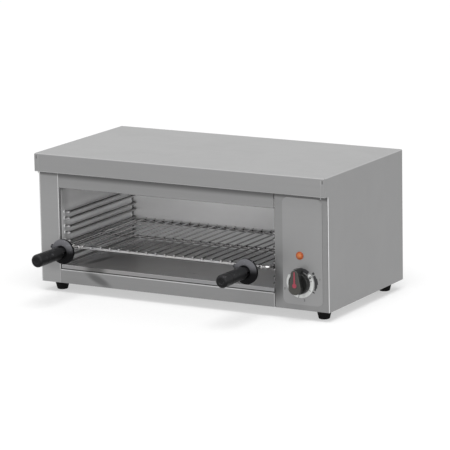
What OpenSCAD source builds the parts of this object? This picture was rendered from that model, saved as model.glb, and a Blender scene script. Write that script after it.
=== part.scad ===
// Salamander grill: an open fronted counter grill in folded stainless steel.
// A wire rack with two insulated handles slides on wire guides under sheathed heating elements,
// a crumb tray slides over the lower fascia, and a rotary regulator sits in a box on the right.
// X runs to the right seen from the front, Y to the back and Z up.
// The origin is on the floor, under the middle of the whole part with its handles and its gland.

/* [Casing] */
// Width over the side panels
casing_w = 650; // [600:1:760]
// Depth from the face of the visor to the rear edges
casing_d = 330; // [300:1:400]
// Height of the box without its feet
casing_h = 263; // [250:1:320]
// Thickness of the outer sheet
sheet_t = 1.2; // [0.8:0.1:1.6]
// Outer radius of the folds in the outer sheet
fold_r = 2.4; // [2:0.1:4]
// Height of the visor along the top front edge
visor_h = 37.5; // [28:0.5:48]
// Distance that the visor stands in front of the body
visor_reach = 14.4; // [12:0.1:22]
// Width of the edge turned under along the bottom of the visor
visor_return = 8; // [5:0.5:10]
// Width of the hem doubled back along the front edge of each side panel
hem_w = 8; // [5:0.5:10]
// Width of the flanges turned in along the rear edges
rear_flange = 14; // [12:0.5:18]
// Height of the flanges turned up around the base pan
pan_flange = 15; // [10:0.5:20]
// Diameter of the relief notch at each top front corner
notch_d = 3; // [2:0.1:5]

/* [Front] */
// Width of the front column on the left
column_w = 45.3; // [40:0.1:60]
// Width of the control panel on the right
panel_w = 117.5; // [105:0.5:135]
// Height of the fascia below the opening
lower_fascia_h = 28; // [24:0.5:40]
// Height of the fascia that shows between the visor and the opening
top_fascia_h = 32.5; // [26:0.5:42]
// Depth of the edges folded back around the opening
front_return = 9; // [8:0.1:15]
// Gap at the seams between the front pieces
seam = 0.3; // [0.2:0.1:0.8]

/* [Cavity] */
// Thickness of the lining sheet
liner_t = 1; // [0.8:0.1:1.4]
// Distance from the edges of the opening in to the cavity walls
liner_step = 1.5; // [1:0.1:8]
// Space between the cavity and the rear edges of the casing
rear_space = 34; // [30:1:55]
// Height of the reflector above the top edge of the opening
reflector_rise = 38; // [34:0.5:46]
// Width of the flanges on the lining sheets
liner_flange = 12; // [8:0.5:16]

/* [Guides] */
// Diameter of the guide wires
guide_d = 5; // [4:0.1:5.8]
// Distance from a cavity wall to the axis of its guide wires
guide_standoff = 10.7; // [6.5:0.1:13]
// Radius of the bends at the ends of a guide wire, on its axis
guide_bend_r = 4.5; // [3.5:0.1:6]
// Distance between the upper and lower wires of one level
guide_gap = 12.7; // [11.8:0.1:14]
// Distance from one level to the next
level_pitch = 29.3; // [27:0.1:33]
// Number of rack levels
level_count = 4; // [2:1:4]
// Height of the lowest wire above the cavity floor
first_level = 13.2; // [12.8:0.1:16]
// Level that holds the rack, counted up from 0
rack_level = 1; // [0:1:1]
// Distance from the ends of the guide wires to the ends of the cavity walls
guide_inset = 6; // [4:0.5:12]

/* [Rack] */
// Diameter of the wire of the rack frame
rail_d = 6; // [5:0.1:6.8]
// Diameter of the bars
bar_d = 3; // [2:0.1:4]
// Number of bars between the side rails
bar_count = 21; // [13:1:25]
// Radius of the corners of the rack frame, on the axis of the wire
rack_corner_r = 12; // [8:0.5:20]
// Distance from the face of the visor back to the axis of the front rail
rack_inset = 17; // [15:0.5:30]
// Gap between the rear rail and the back of the cavity
rack_rear_gap = 3; // [2:0.5:10]
// Length of each bar beyond the axis of the end rails
bar_overhang = 4.5; // [3.5:0.1:6]

/* [Handles] */
// Distance from a side rail in to the axis of the handle
handle_inset = 24.5; // [22:0.5:80]
// Diameter of the handle wires
handle_wire_d = 5; // [4:0.1:5.5]
// Distance between the axes of the two wires of a handle
handle_wire_gap = 14; // [12:0.5:15]
// Distance from the face of the visor out to the back of the guards
guard_standoff = 28; // [15:0.5:40]
// Diameter of the heat guards
guard_d = 50; // [40:0.5:60]
// Thickness of a guard at its rim
guard_rim_t = 8; // [5:0.5:12]
// Height of the cone on the front of a guard
guard_cone_h = 5; // [3:0.5:10]
// Diameter of a grip next to its guard
grip_d = 24; // [22:0.5:28]
// Diameter of a grip near its end
grip_end_d = 26; // [24:0.5:30]
// Length of a grip
grip_len = 88; // [60:0.5:110]
// Radius of the rounded end of a grip
grip_end_r = 6; // [3:0.5:9]
// Distance from the end of a grip to the groove round it
grip_groove_place = 25; // [15:0.5:40]

/* [Crumb tray] */
// Thickness of the sheet of the tray
tray_t = 0.8; // [0.6:0.1:1.2]
// Height of the edges of the tray
tray_h = 9.2; // [7:0.1:10]
// Gap between the tray and the cavity walls
tray_side_gap = 2.5; // [0.5:0.1:4]
// Diameter of the bead rolled along the top of the front lip
tray_bead_d = 2; // [1.6:0.1:2.6]
// Distance from the front of the body back to the lip
tray_inset = 1.6; // [0.5:0.1:5]
// Gap between each end of the lip and the edge of the opening
lip_gap = 3; // [1.5:0.1:5]

/* [Controls] */
// Distance from the right side in to the axis of the knob and the lamp
control_inset = 62; // [56:0.5:64]
// Height of the knob axis above the bottom of the box
knob_height = 53; // [45:0.5:70]
// Height of the lamp above the bottom of the box
lamp_height = 106.5; // [98:0.5:140]
// Thickness of the overlay plate
overlay_t = 0.6; // [0.4:0.1:1]
// Width of the overlay plate
overlay_w = 85.5; // [80:0.5:95]
// Height of the overlay plate
overlay_h = 208; // [160:0.5:212]
// Radius of the corners of the overlay plate
overlay_r = 12; // [4:0.5:20]
// Height of the bottom edge of the overlay above the bottom of the box
overlay_rise = 10.5; // [6:0.5:14]
// Distance from the right side in to the right edge of the overlay plate
overlay_margin = 13.6; // [11:0.1:16]
// Diameter of the skirt of the knob
knob_skirt_d = 42; // [36:0.5:46]
// Height of the skirt of the knob
knob_skirt_h = 9; // [7:0.5:12]
// Distance from the overlay to the face of the knob grip
knob_h = 24; // [18:0.5:30]
// Width of the knob grip
knob_grip_w = 27; // [20:0.5:32]
// Reach of the knob grip above the axis
knob_grip_up = 29; // [24:0.5:34]
// Reach of the knob grip below the axis
knob_grip_down = 19; // [15:0.5:22]
// Diameter of the regulator shaft
shaft_d = 6; // [5:0.1:6.4]
// Diameter of the lamp lens
lens_d = 15.5; // [13:0.1:20]

/* [Heating elements] */
// Diameter of the element tubes
tube_d = 8; // [6.4:0.1:8.6]
// Number of hairpin elements
hairpin_count = 3; // [2:1:3]
// Distance between the two legs of a hairpin
hairpin_gap = 36; // [28:0.5:46]
// Distance from the reflector down to the axis of the tubes
tube_drop = 24; // [16:0.5:26]

/* [Feet] */
// Height of the feet
foot_h = 20; // [14:0.5:40]
// Diameter of a foot at its top
foot_top_d = 30; // [28:0.5:40]
// Diameter of a foot at the floor
foot_floor_d = 22; // [18:0.5:27]
// Distance from each side in to the middle of a foot
foot_inset_x = 28; // [25:0.5:60]
// Distance from the front of the body back to the middle of a front foot
foot_front_inset = 32; // [24:0.5:60]
// Distance from the rear edges in to the middle of a rear foot
foot_rear_inset = 26; // [24:0.5:60]

/* [Rear] */
// Diameter of the bore of the cable gland
gland_bore_d = 8; // [6:0.1:10]
// Distance that the gland stands out behind the back panel
gland_reach = 16; // [10:0.5:25]
// Number of vent slots in each row
vent_count = 9; // [4:1:10]
// Length of a vent slot
vent_len = 34; // [20:0.5:40]
// Width of a vent slot
vent_w = 4; // [2.5:0.1:6]

/* [Hidden] */
$fn = 48;

// Overrun of the cuts
cut = 0.5;
// Running gap between a sliding piece and its seat
seat_gap = 0.3;
// Radial clearance of a shaft in its bush
shaft_fit = 0.05;
// Radial clearance of a screw or a tube in its hole
hole_fit = 0.25;

// Colours as the photograph shows them
steel = [0.60, 0.61, 0.61];
steel_dark = [0.50, 0.51, 0.51];
chrome = [0.75, 0.76, 0.77];
black = [0.10, 0.10, 0.11];
brass = [0.75, 0.62, 0.32];
ceramic = [0.90, 0.89, 0.85];

// Places along the main directions
box_z = foot_h;
top_z = box_z + casing_h;
visor_z = top_z - visor_h;
handle_reach = guard_standoff + guard_rim_t + guard_cone_h + grip_len;
front_y = (handle_reach - casing_d - sheet_t - gland_reach) / 2;
back_y = front_y + casing_d;
body_y = front_y + visor_reach;
left_x = -casing_w / 2;
right_x = casing_w / 2;
inner_w = casing_w - 2 * sheet_t;
pan_top = box_z + sheet_t;
open_left = left_x + column_w;
open_right = right_x - panel_w;
open_w = open_right - open_left;
open_floor = box_z + lower_fascia_h;
open_top = visor_z - top_fascia_h;
wall_y = body_y + front_return;
cavity_left = open_left + liner_step;
cavity_right = open_right - liner_step;
cavity_w = cavity_right - cavity_left;
cavity_y = back_y - rear_space;
cavity_d = cavity_y - wall_y;
roof_z = open_top + reflector_rise;

// Guides and rack
guide_z = open_floor + first_level;
rack_z = guide_z + rack_level * level_pitch + guide_d / 2 + seat_gap + rail_d / 2;
rail_x = cavity_right - guide_standoff;
rail_left_x = cavity_left + guide_standoff;
rack_front_y = front_y + rack_inset;
rack_rear_y = cavity_y - rack_rear_gap - rail_d / 2;
rack_len = rack_rear_y - rack_front_y;
bar_z = rack_z + rail_d / 2 + bar_d / 2;
bar_pitch = (rail_x - rail_left_x) / (bar_count + 1);
guard_y = front_y - guard_standoff;
grip_y = guard_y - guard_rim_t - guard_cone_h;

// Handle details
guard_hub_d = grip_d + 2;
guard_edge_r = 2;
guard_lug_w = 7;
guard_lug_h = 4;
guard_lug_t = 5;
guard_lug_turn = 70;
wire_socket = 26;
grip_groove_w = 1.6;
grip_groove_h = 0.6;

// Diameter of the hem at each end of the tray lip
lip_end_d = 1.6;

// Front panel details
control_x = right_x - control_inset;
knob_z = box_z + knob_height;
lamp_z = box_z + lamp_height;
overlay_y = body_y - overlay_t;
overlay_x = right_x - overlay_margin - overlay_w / 2;
bush_d = 9.6;
bush_proud = 5;
nut_af = 14;
nut_t = 3;
knob_gap = 0.8;
knob_wall = 2.4;
knob_hub_d = 13;
knob_edge_r = 1.5;
knob_tip_r = 8;
knob_face_step = 1.6;
knob_bore_depth = 13;
shaft_flat = 0.8;
pointer_w = 2.2;
pointer_blob_d = 5.5;
pointer_t = 0.4;
regulator_w = 36;
regulator_h = 44;
regulator_d = 30;
regulator_tab_w = 6.3;
regulator_tab_t = 0.8;
regulator_tab_len = 8;
regulator_tab_x = 9;
regulator_tab_y = 14.7;
lamp_body_d = 12;
lamp_body_len = 30;
lens_flange_t = 2;
lens_dome_h = 3.5;
lamp_nut_af = 17;
lamp_nut_t = 4;
lamp_tab_gap = 6;

// Element details
hanger_t = 1.5;
hanger_foot = 12;
hanger_margin = 8;
hanger_left_share = 0.22;
hanger_right_share = 0.74;
element_clear = 14;
element_out = 14;
ferrule_d = 14;
ferrule_t = 3;
stud_d = 3.5;
stud_len = 16;
bead_d = 7;
bead_len = 6;

// Feet, rear and terminal details
foot_edge_r = 2;
foot_screw_d = 5;
foot_head_d = 9.5;
foot_head_h = 3.5;
foot_recess = 8;
foot_recess_d = 11;
foot_nut_af = 8;
foot_nut_t = 4;
foot_screw_spare = 1.2;
screw_d = 3.5;
screw_head_d = 7;
screw_head_h = 2;
screw_len = 7;
screw_slot_w = 1;
screw_slot_h = 1;
top_screw_share = 1 / 3;
back_margin = 3;
vent_pitch = 9;
vent_left_share = 1 / 4;
vent_height_share = 1 / 2;
gland_inset = 50;
gland_height = 36;
gland_af = 20;
gland_hex_t = 5;
gland_thread_d = 16;
gland_cap_d = 18;
gland_nut_af = 20;
gland_nut_t = 4;
gland_thread_spare = 1.2;
gland_lip_t = 1.2;
block_w = 45;
block_d = 20;
block_h = 18;
block_step = 6;
block_ledge_share = 1 / 4;
block_pole_count = 3;
block_bore_d = 4;
block_screw_d = 5;
block_screw_h = 1.2;
block_inset = 60;
block_y_gap = 70;

// L section with legs along +x and +y and a rounded fold at the origin
module fold_section(a, b, t, r) {
    translate([r, 0]) square([a - r, t]);
    translate([0, r]) square([t, b - r]);
    intersection() {
        square(r);
        translate([r, r]) difference() {
            circle(r);
            circle(r - t);
        }
    }
}

// Upright rectangle with its two upper corners rounded
module round_top(w, h, r) {
    translate([-w / 2, 0]) square([w, h - r]);
    translate([-w / 2 + r, 0]) square([w - 2 * r, h]);
    for (s = [-1, 1]) translate([s * (w / 2 - r), h - r]) circle(r);
}

// Rectangle with four rounded corners, centred
module round_rect(w, h, r) {
    square([w - 2 * r, h], center = true);
    square([w, h - 2 * r], center = true);
    for (sx = [-1, 1], sy = [-1, 1]) translate([sx * (w / 2 - r), sy * (h / 2 - r)]) circle(r);
}

// Cylinder along +Y from the origin
module rod_y(d, len) {
    rotate([-90, 0, 0]) cylinder(d = d, h = len);
}

// Cylinder along +X from the origin
module rod_x(d, len) {
    rotate([0, 90, 0]) cylinder(d = d, h = len);
}

// Hexagon bar along +z, by its width across flats
module hex_bar(af, len) {
    cylinder(d = af / cos(30), h = len, $fn = 6);
}

// Quarter bend of wire in the XY plane round the origin, from +x to +y
module wire_bend(r, d) {
    rotate_extrude(angle = 90) translate([r, 0]) circle(d = d);
}

// The wrapped sheet of the top and the sides, seen from the front
module wrap_section() {
    difference() {
        round_top(casing_w, casing_h, fold_r);
        translate([0, -cut]) round_top(inner_w, casing_h - sheet_t + cut, fold_r - sheet_t);
    }
}

// The visor, seen from the right, with its face on the y axis and its top on the x axis
module visor_section() {
    translate([0, -visor_h + fold_r]) square([sheet_t, visor_h - 2 * fold_r]);
    translate([fold_r, -fold_r]) intersection() {
        translate([-fold_r, 0]) square(fold_r);
        difference() {
            circle(fold_r);
            circle(fold_r - sheet_t);
        }
    }
    translate([0, -visor_h]) intersection() {
        square([visor_return, fold_r]);
        fold_section(visor_return, fold_r, sheet_t, fold_r - cut / 2);
    }
    translate([0, -visor_h + fold_r - cut / 2]) square([sheet_t, cut]);
    translate([fold_r - cut / 2, -visor_h]) square([visor_return - fold_r + cut / 2, sheet_t]);
}

module outer_casing() {
    color(steel) difference() {
        union() {
            difference() {
                translate([0, back_y, box_z]) rotate([90, 0, 0])
                    linear_extrude(casing_d - fold_r) wrap_section();
                translate([left_x - cut, front_y, box_z - cut])
                    cube([casing_w + 2 * cut, visor_reach + sheet_t, casing_h - visor_h + cut]);
            }
            intersection() {
                translate([left_x, front_y, top_z]) rotate([90, 0, 90])
                    linear_extrude(casing_w) visor_section();
                translate([0, back_y, box_z]) rotate([90, 0, 0])
                    linear_extrude(casing_d) round_top(casing_w, casing_h, fold_r);
            }
            for (s = [0, 1]) mirror([s, 0, 0]) casing_side_edges();
            translate([-inner_w / 2, back_y - sheet_t, top_z - sheet_t - rear_flange])
                cube([inner_w, sheet_t, rear_flange]);
        }
        back_screw_holes(screw_d + 2 * hole_fit);
        for (s = [-1, 1]) translate([s * casing_w / 2, front_y, top_z])
            rotate([-90, 0, 0]) cylinder(d = notch_d, h = fold_r);
    }
}

// Left side: the edge behind the visor, the hem and the rear flange
module casing_side_edges() {
    translate([left_x, front_y + sheet_t, visor_z]) cube([sheet_t, fold_r, visor_h - fold_r]);
    translate([left_x, body_y + sheet_t, box_z]) cube([2 * sheet_t, hem_w, casing_h - visor_h]);
    translate([left_x + sheet_t, body_y + sheet_t, box_z])
        cylinder(r = sheet_t, h = casing_h - visor_h);
    translate([left_x + sheet_t, back_y - sheet_t, box_z])
        cube([rear_flange, sheet_t, casing_h - sheet_t]);
}

// Holes through the rear flanges and the back panel for its screws
module back_screw_holes(d) {
    for (p = back_screw_places) translate([p[0], back_y - sheet_t - cut, p[1]])
        rod_y(d, 2 * sheet_t + 2 * cut);
}

back_edge = sheet_t + rear_flange / 2;
back_screw_x = casing_w / 2 - back_edge;
back_low_z = box_z + 2 * rear_flange;
back_high_z = top_z - back_edge;
back_mid_z = (back_low_z + back_high_z) / 2;
back_screw_places = [
    for (x = [-back_screw_x, back_screw_x], z = [back_low_z, back_mid_z, back_high_z]) [x, z],
    for (s = [-1, 1]) [s * top_screw_share * back_screw_x, back_high_z]];

module base_pan() {
    pan_y = body_y + sheet_t;
    notch_y = pan_y + hem_w + seat_gap;
    pan_rear = back_y - sheet_t;
    front_half_w = casing_w / 2 - 2 * sheet_t;
    color(steel_dark) difference() {
        union() {
            translate([-front_half_w, pan_y, box_z])
                cube([2 * front_half_w, pan_rear - pan_y, sheet_t]);
            translate([-inner_w / 2, notch_y, box_z])
                cube([inner_w, pan_rear - notch_y, sheet_t]);
            for (s = [0, 1]) mirror([s, 0, 0]) translate([-inner_w / 2, notch_y, box_z])
                cube([sheet_t, pan_rear - notch_y, pan_flange]);
            translate([open_left + seam, pan_y, box_z])
                cube([open_w - 2 * seam - fold_r - seat_gap, sheet_t, pan_flange]);
            translate([-inner_w / 2 + rear_flange + seam, pan_rear - sheet_t, box_z])
                cube([inner_w - 2 * rear_flange - 2 * seam, sheet_t, pan_flange]);
            translate([-inner_w / 2 + rear_flange + seam, pan_rear - sheet_t, box_z + pan_flange - sheet_t])
                cube([inner_w - 2 * rear_flange - 2 * seam, 2 * sheet_t, sheet_t]);
        }
        for (p = foot_places) translate([p[0], p[1], box_z - cut])
            cylinder(d = foot_screw_d + 2 * hole_fit, h = sheet_t + 2 * cut);
    }
}

foot_x = casing_w / 2 - foot_inset_x;
foot_front_y = body_y + foot_front_inset;
foot_rear_y = back_y - foot_rear_inset;
foot_places = [for (y = [foot_front_y, foot_rear_y], x = [-foot_x, foot_x]) [x, y]];

// Vent slots of the back panel: two rows behind the cavity and one behind the control box
module vent_rows() {
    low_z = box_z + vent_height_share * casing_h - (vent_count - 1) / 2 * vent_pitch;
    for (x = [-vent_left_share * casing_w, 0, control_x], i = [0 : vent_count - 1])
        translate([x, back_y - cut, low_z + i * vent_pitch])
            rotate([-90, 0, 0]) linear_extrude(sheet_t + 2 * cut)
                round_rect(vent_len, vent_w, vent_w / 2 - seat_gap / 2);
}

gland_x = right_x - gland_inset;
gland_z = box_z + gland_height;

module back_panel() {
    panel_back_w = casing_w - 2 * back_margin;
    panel_back_h = casing_h - 2 * back_margin;
    color(steel_dark) difference() {
        translate([-panel_back_w / 2, back_y, box_z + back_margin])
            cube([panel_back_w, sheet_t, panel_back_h]);
        back_screw_holes(screw_d + 2 * hole_fit);
        vent_rows();
        translate([gland_x, back_y - cut, gland_z])
            rod_y(gland_thread_d + 2 * hole_fit, sheet_t + 2 * cut);
    }
}

module back_panel_screws() {
    color(chrome) for (p = back_screw_places) translate([p[0], back_y + sheet_t, p[1]]) {
        difference() {
            rod_y(screw_head_d, screw_head_h);
            translate([-screw_head_d / 2 - cut, screw_head_h - screw_slot_h, -screw_slot_w / 2])
                cube([screw_head_d + 2 * cut, screw_slot_h + cut, screw_slot_w]);
        }
        mirror([0, 1, 0]) rod_y(screw_d, screw_len);
    }
}

// Front sheet with one upright edge folded back, from the base to the underside of the top
module upright_front(w) {
    h = casing_h - sheet_t;
    difference() {
        translate([0, 0, box_z]) linear_extrude(h)
            translate([w, 0]) mirror([1, 0]) fold_section(w - 2 * sheet_t, front_return, sheet_t, fold_r);
        translate([0, sheet_t, box_z - cut]) cube([w + cut, front_return, sheet_t + cut]);
    }
}

module left_column() {
    color(steel) translate([left_x, body_y, 0]) upright_front(column_w);
}

module top_fascia() {
    h = top_z - sheet_t - open_top;
    color(steel_dark) translate([open_left + seam, body_y, open_top]) rotate([90, 0, 90])
        linear_extrude(open_w - 2 * seam) fold_section(front_return, h, sheet_t, fold_r);
}

// Rectangle with its far corner on the x axis rounded
module rounded_end(a, b, r) {
    square([a - r, b]);
    translate([0, r]) square([a, b - r]);
    translate([a - r, r]) circle(r);
}

// Block with its top front edge and its right front edge rounded
module folded_block(w, d, h, r) {
    intersection() {
        linear_extrude(h) rounded_end(w, d, r);
        rotate([90, 0, 90]) linear_extrude(w) mirror([1, 0]) rotate(90) rounded_end(h, d, r);
    }
}

// Folded back along its top and at its right end
module lower_fascia() {
    w = open_w - 2 * seam;
    color(steel) translate([open_left + seam, body_y, box_z]) difference() {
        folded_block(w, front_return, lower_fascia_h, fold_r);
        translate([-cut, sheet_t, -cut])
            folded_block(w - sheet_t + cut, front_return + cut, lower_fascia_h - sheet_t + cut,
                fold_r - sheet_t);
        translate([-cut, sheet_t, -cut]) cube([w + 2 * cut, front_return + cut, sheet_t + cut]);
    }
}

module control_panel() {
    color(steel) difference() {
        translate([right_x, body_y, 0]) mirror([1, 0, 0]) upright_front(panel_w);
        translate([control_x, body_y - cut, knob_z]) rod_y(bush_d + 2 * hole_fit, sheet_t + 2 * cut);
        translate([control_x, body_y - cut, lamp_z]) rod_y(lamp_body_d + 2 * hole_fit, sheet_t + 2 * cut);
    }
}

module control_overlay() {
    color(steel) difference() {
        translate([overlay_x, body_y, box_z + overlay_rise + overlay_h / 2])
            rotate([90, 0, 0]) linear_extrude(overlay_t) round_rect(overlay_w, overlay_h, overlay_r);
        translate([control_x, overlay_y - cut, knob_z]) rod_y(bush_d + 2 * hole_fit, overlay_t + 2 * cut);
        translate([control_x, overlay_y - cut, lamp_z])
            rod_y(lamp_body_d + 2 * hole_fit, overlay_t + 2 * cut);
    }
}

// Left cavity wall with its front flange and its foot flange turned outwards
module cavity_wall() {
    translate([cavity_left - liner_t, wall_y, pan_top]) cube([liner_t, cavity_d, roof_z - pan_top]);
    translate([cavity_left - liner_flange, wall_y, pan_top])
        cube([liner_flange, liner_t, roof_z - pan_top]);
    translate([cavity_left - liner_flange, wall_y, pan_top]) cube([liner_flange, cavity_d, liner_t]);
}

// Mirror plane between the two cavity walls
cavity_mid_x = (cavity_left + cavity_right) / 2;

// Places a copy of a left hand piece at the right side of the cavity
module at_right() {
    translate([cavity_mid_x, 0, 0]) mirror([1, 0, 0]) translate([-cavity_mid_x, 0, 0]) children();
}

module cavity_wall_left() {
    color(steel) cavity_wall();
}

module cavity_wall_right() {
    color(steel) difference() {
        at_right() cavity_wall();
        for (y = leg_places) translate([cavity_right - cut, y, tube_z])
            rod_x(tube_d + 2 * hole_fit, liner_t + 2 * cut);
    }
}

module cavity_back() {
    color(steel) {
        translate([cavity_left - liner_t, cavity_y, pan_top])
            cube([cavity_w + 2 * liner_t, liner_t, roof_z - pan_top]);
        translate([cavity_left - liner_t, cavity_y, pan_top])
            cube([cavity_w + 2 * liner_t, liner_flange, liner_t]);
    }
}

module cavity_floor() {
    color(steel_dark) translate([cavity_left, wall_y, open_floor]) {
        translate([0, 0, -liner_t]) cube([cavity_w, cavity_d, liner_t]);
        for (x = [0, cavity_w - liner_t]) translate([x, 0, -liner_flange])
            cube([liner_t, cavity_d, liner_flange]);
    }
}

module roof_reflector() {
    roof_y = body_y + sheet_t;
    roof_d = cavity_y + liner_t - roof_y;
    color(steel) translate([cavity_left - liner_t, roof_y, roof_z]) {
        cube([cavity_w + 2 * liner_t, roof_d, liner_t]);
        for (y = [0, roof_d - liner_t]) translate([0, y, 0])
            cube([cavity_w + 2 * liner_t, liner_t, liner_flange]);
    }
}

// One guide wire along the left wall, bent into the wall at both ends
module guide_wire() {
    len = cavity_d - 2 * guide_inset - guide_d;
    foot_len = guide_standoff - guide_bend_r;
    translate([cavity_left, wall_y + liner_t / 2 + guide_inset + guide_d / 2, 0]) {
        for (s = [0, 1]) translate([0, s * len, 0]) mirror([0, s, 0]) {
            rod_x(guide_d, foot_len);
            translate([foot_len, guide_bend_r, 0]) rotate([0, 0, -90]) wire_bend(guide_bend_r, guide_d);
        }
        translate([guide_standoff, guide_bend_r, 0]) rod_y(guide_d, len - 2 * guide_bend_r);
    }
}

module guide_wires() {
    for (i = [0 : level_count - 1], upper = [0, 1])
        translate([0, 0, guide_z + i * level_pitch + upper * guide_gap]) guide_wire();
}

module guide_wires_left() {
    color(chrome) guide_wires();
}

module guide_wires_right() {
    color(chrome) at_right() guide_wires();
}

// Places of the element legs along Y, two for each hairpin
tube_z = roof_z - tube_drop;
hairpin_pitch = cavity_d / hairpin_count;
hairpin_places = [for (i = [0 : hairpin_count - 1]) wall_y + (i + 1 / 2) * hairpin_pitch];
leg_places = [for (y = hairpin_places, s = [-1, 1]) y + s * hairpin_gap / 2];

// A hairpin of sheathed tube with a stud in each cold end
module hairpin(i) {
    bend_r = hairpin_gap / 2;
    bend_x = cavity_left + element_clear + bend_r;
    leg_len = cavity_right + liner_t + element_out - bend_x;
    color(steel_dark) translate([bend_x, hairpin_places[i], tube_z]) {
        rotate([0, 0, 90]) rotate_extrude(angle = 180) translate([bend_r, 0]) circle(d = tube_d);
        for (s = [-1, 1]) translate([0, s * bend_r, 0]) {
            rod_x(tube_d, leg_len);
            translate([leg_len, 0, 0]) rod_x(stud_d, stud_len);
        }
    }
}

module element_front() {
    hairpin(0);
}

module element_middle() {
    hairpin(1);
}

module element_rear() {
    if (hairpin_count > 2) hairpin(2);
}

// Collars that clamp each leg to the wall of the control box, one on each side
module element_ferrules() {
    color(brass) for (y = leg_places, x = [cavity_right - ferrule_t, cavity_right + liner_t])
        translate([x, y, tube_z]) difference() {
            rod_x(ferrule_d, ferrule_t);
            translate([-cut, 0, 0]) rod_x(tube_d, ferrule_t + 2 * cut);
        }
}

module element_insulators() {
    color(ceramic) for (y = leg_places)
        translate([cavity_right + liner_t + element_out, y, tube_z]) difference() {
            rod_x(bead_d, bead_len);
            translate([-cut, 0, 0]) rod_x(stud_d, bead_len + 2 * cut);
        }
}

// Angle hung from the reflector, drilled for the legs
module element_hanger(x) {
    hanger_h = tube_drop + tube_d / 2 + hanger_margin / 2;
    hanger_y = leg_places[0] - tube_d / 2 - hanger_margin;
    hanger_len = leg_places[2 * hairpin_count - 1] + tube_d / 2 + hanger_margin - hanger_y;
    color(steel_dark) difference() {
        translate([x, hanger_y, roof_z - hanger_h]) {
            cube([hanger_t, hanger_len, hanger_h]);
            translate([0, 0, hanger_h - hanger_t]) cube([hanger_foot, hanger_len, hanger_t]);
        }
        for (y = leg_places) translate([x - cut, y, tube_z])
            rod_x(tube_d + 2 * hole_fit, hanger_t + 2 * cut);
    }
}

module element_hanger_left() {
    element_hanger(cavity_left + hanger_left_share * cavity_w);
}

module element_hanger_right() {
    element_hanger(cavity_left + hanger_right_share * cavity_w);
}

module rack_frame() {
    straight_x = rail_x - rail_left_x - 2 * rack_corner_r;
    straight_y = rack_len - 2 * rack_corner_r;
    color(chrome) {
        for (y = [rack_front_y, rack_rear_y]) translate([rail_left_x + rack_corner_r, y, rack_z])
            rod_x(rail_d, straight_x);
        for (x = [rail_left_x, rail_x]) translate([x, rack_front_y + rack_corner_r, rack_z])
            rod_y(rail_d, straight_y);
        for (sx = [0, 1], sy = [0, 1])
            translate([sx ? rail_x - rack_corner_r : rail_left_x + rack_corner_r,
                sy ? rack_rear_y - rack_corner_r : rack_front_y + rack_corner_r, rack_z])
                mirror([1 - sx, 0, 0]) mirror([0, 1 - sy, 0]) wire_bend(rack_corner_r, rail_d);
        translate([rail_left_x, (rack_front_y + rack_rear_y) / 2, rack_z])
            rod_x(rail_d, rail_x - rail_left_x);
    }
}

module rack_bars() {
    color(chrome) for (i = [1 : bar_count])
        translate([rail_left_x + i * bar_pitch, rack_front_y - bar_overhang, bar_z])
            rod_y(bar_d, rack_len + 2 * bar_overhang);
}

// Two wires from inside the grip, through the guard, to the front rail
module handle_wires(x) {
    socket_y = grip_y - wire_socket;
    color(chrome) difference() {
        for (s = [-1, 1]) translate([x + s * handle_wire_gap / 2, socket_y, rack_z])
            rod_y(handle_wire_d, rack_front_y - socket_y);
        translate([x - guard_d / 2, rack_front_y, rack_z]) rod_x(rail_d, guard_d);
        translate([x - guard_d / 2, rack_front_y, rack_z - rail_d]) cube([guard_d, rail_d, 2 * rail_d]);
    }
}

handle_x = rail_x - handle_inset;
handle_left_x = rail_left_x + handle_inset;

module handle_wires_left() {
    handle_wires(handle_left_x);
}

module handle_wires_right() {
    handle_wires(handle_x);
}

// Holes of the two handle wires, from a place outwards
module wire_holes(d, len) {
    for (s = [-1, 1]) translate([s * handle_wire_gap / 2, 0, -cut]) cylinder(d = d, h = len + 2 * cut);
}

// Guard disc, drawn with +z towards the grip
module guard_shape() {
    r = guard_d / 2;
    difference() {
        union() {
            rotate_extrude($fn = 96) polygon([[0, 0], [r - guard_edge_r, 0], [r, guard_edge_r],
                [r, guard_rim_t - guard_edge_r / 2], [r - guard_edge_r / 2, guard_rim_t],
                [guard_hub_d / 2, guard_rim_t + guard_cone_h], [0, guard_rim_t + guard_cone_h]]);
            rotate([0, 0, guard_lug_turn])
                translate([-guard_lug_w / 2, r - guard_edge_r, guard_edge_r + seat_gap])
                    cube([guard_lug_w, guard_lug_h + guard_edge_r, guard_lug_t]);
        }
        wire_holes(handle_wire_d, guard_rim_t + guard_cone_h);
    }
}

module guard_left() {
    color(black) translate([handle_left_x, guard_y, rack_z]) rotate([90, 0, 0]) guard_shape();
}

module guard_right() {
    color(black) translate([handle_x, guard_y, rack_z]) rotate([90, 0, 0]) guard_shape();
}

// Points of a quarter round from the direction a0, round the centre c
function arc_points(c, r, a0, a1, n) =
    [for (i = [0 : n]) c + r * [cos(a0 + (a1 - a0) * i / n), sin(a0 + (a1 - a0) * i / n)]];

// Grip, drawn with +z towards its rounded end
module grip_shape() {
    end_r = grip_end_d / 2;
    groove_z = grip_len - grip_groove_place;
    groove_low = groove_z - grip_groove_w / 2;
    neck = grip_d / 2;
    slope = (end_r - neck) / (grip_len - grip_end_r);
    r_at_groove = neck + slope * groove_z;
    outline = concat([[0, 0], [neck, 0], [r_at_groove, groove_low],
            [r_at_groove - grip_groove_h, groove_low],
            [r_at_groove - grip_groove_h, groove_low + grip_groove_w],
            [r_at_groove, groove_low + grip_groove_w]],
        arc_points([end_r - grip_end_r, grip_len - grip_end_r], grip_end_r, 0, 90, 8),
        [[0, grip_len]]);
    difference() {
        rotate_extrude($fn = 64) polygon(outline);
        wire_holes(handle_wire_d, wire_socket - cut);
    }
}

module grip_left() {
    color(black) translate([handle_left_x, grip_y, rack_z]) rotate([90, 0, 0]) grip_shape();
}

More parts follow.
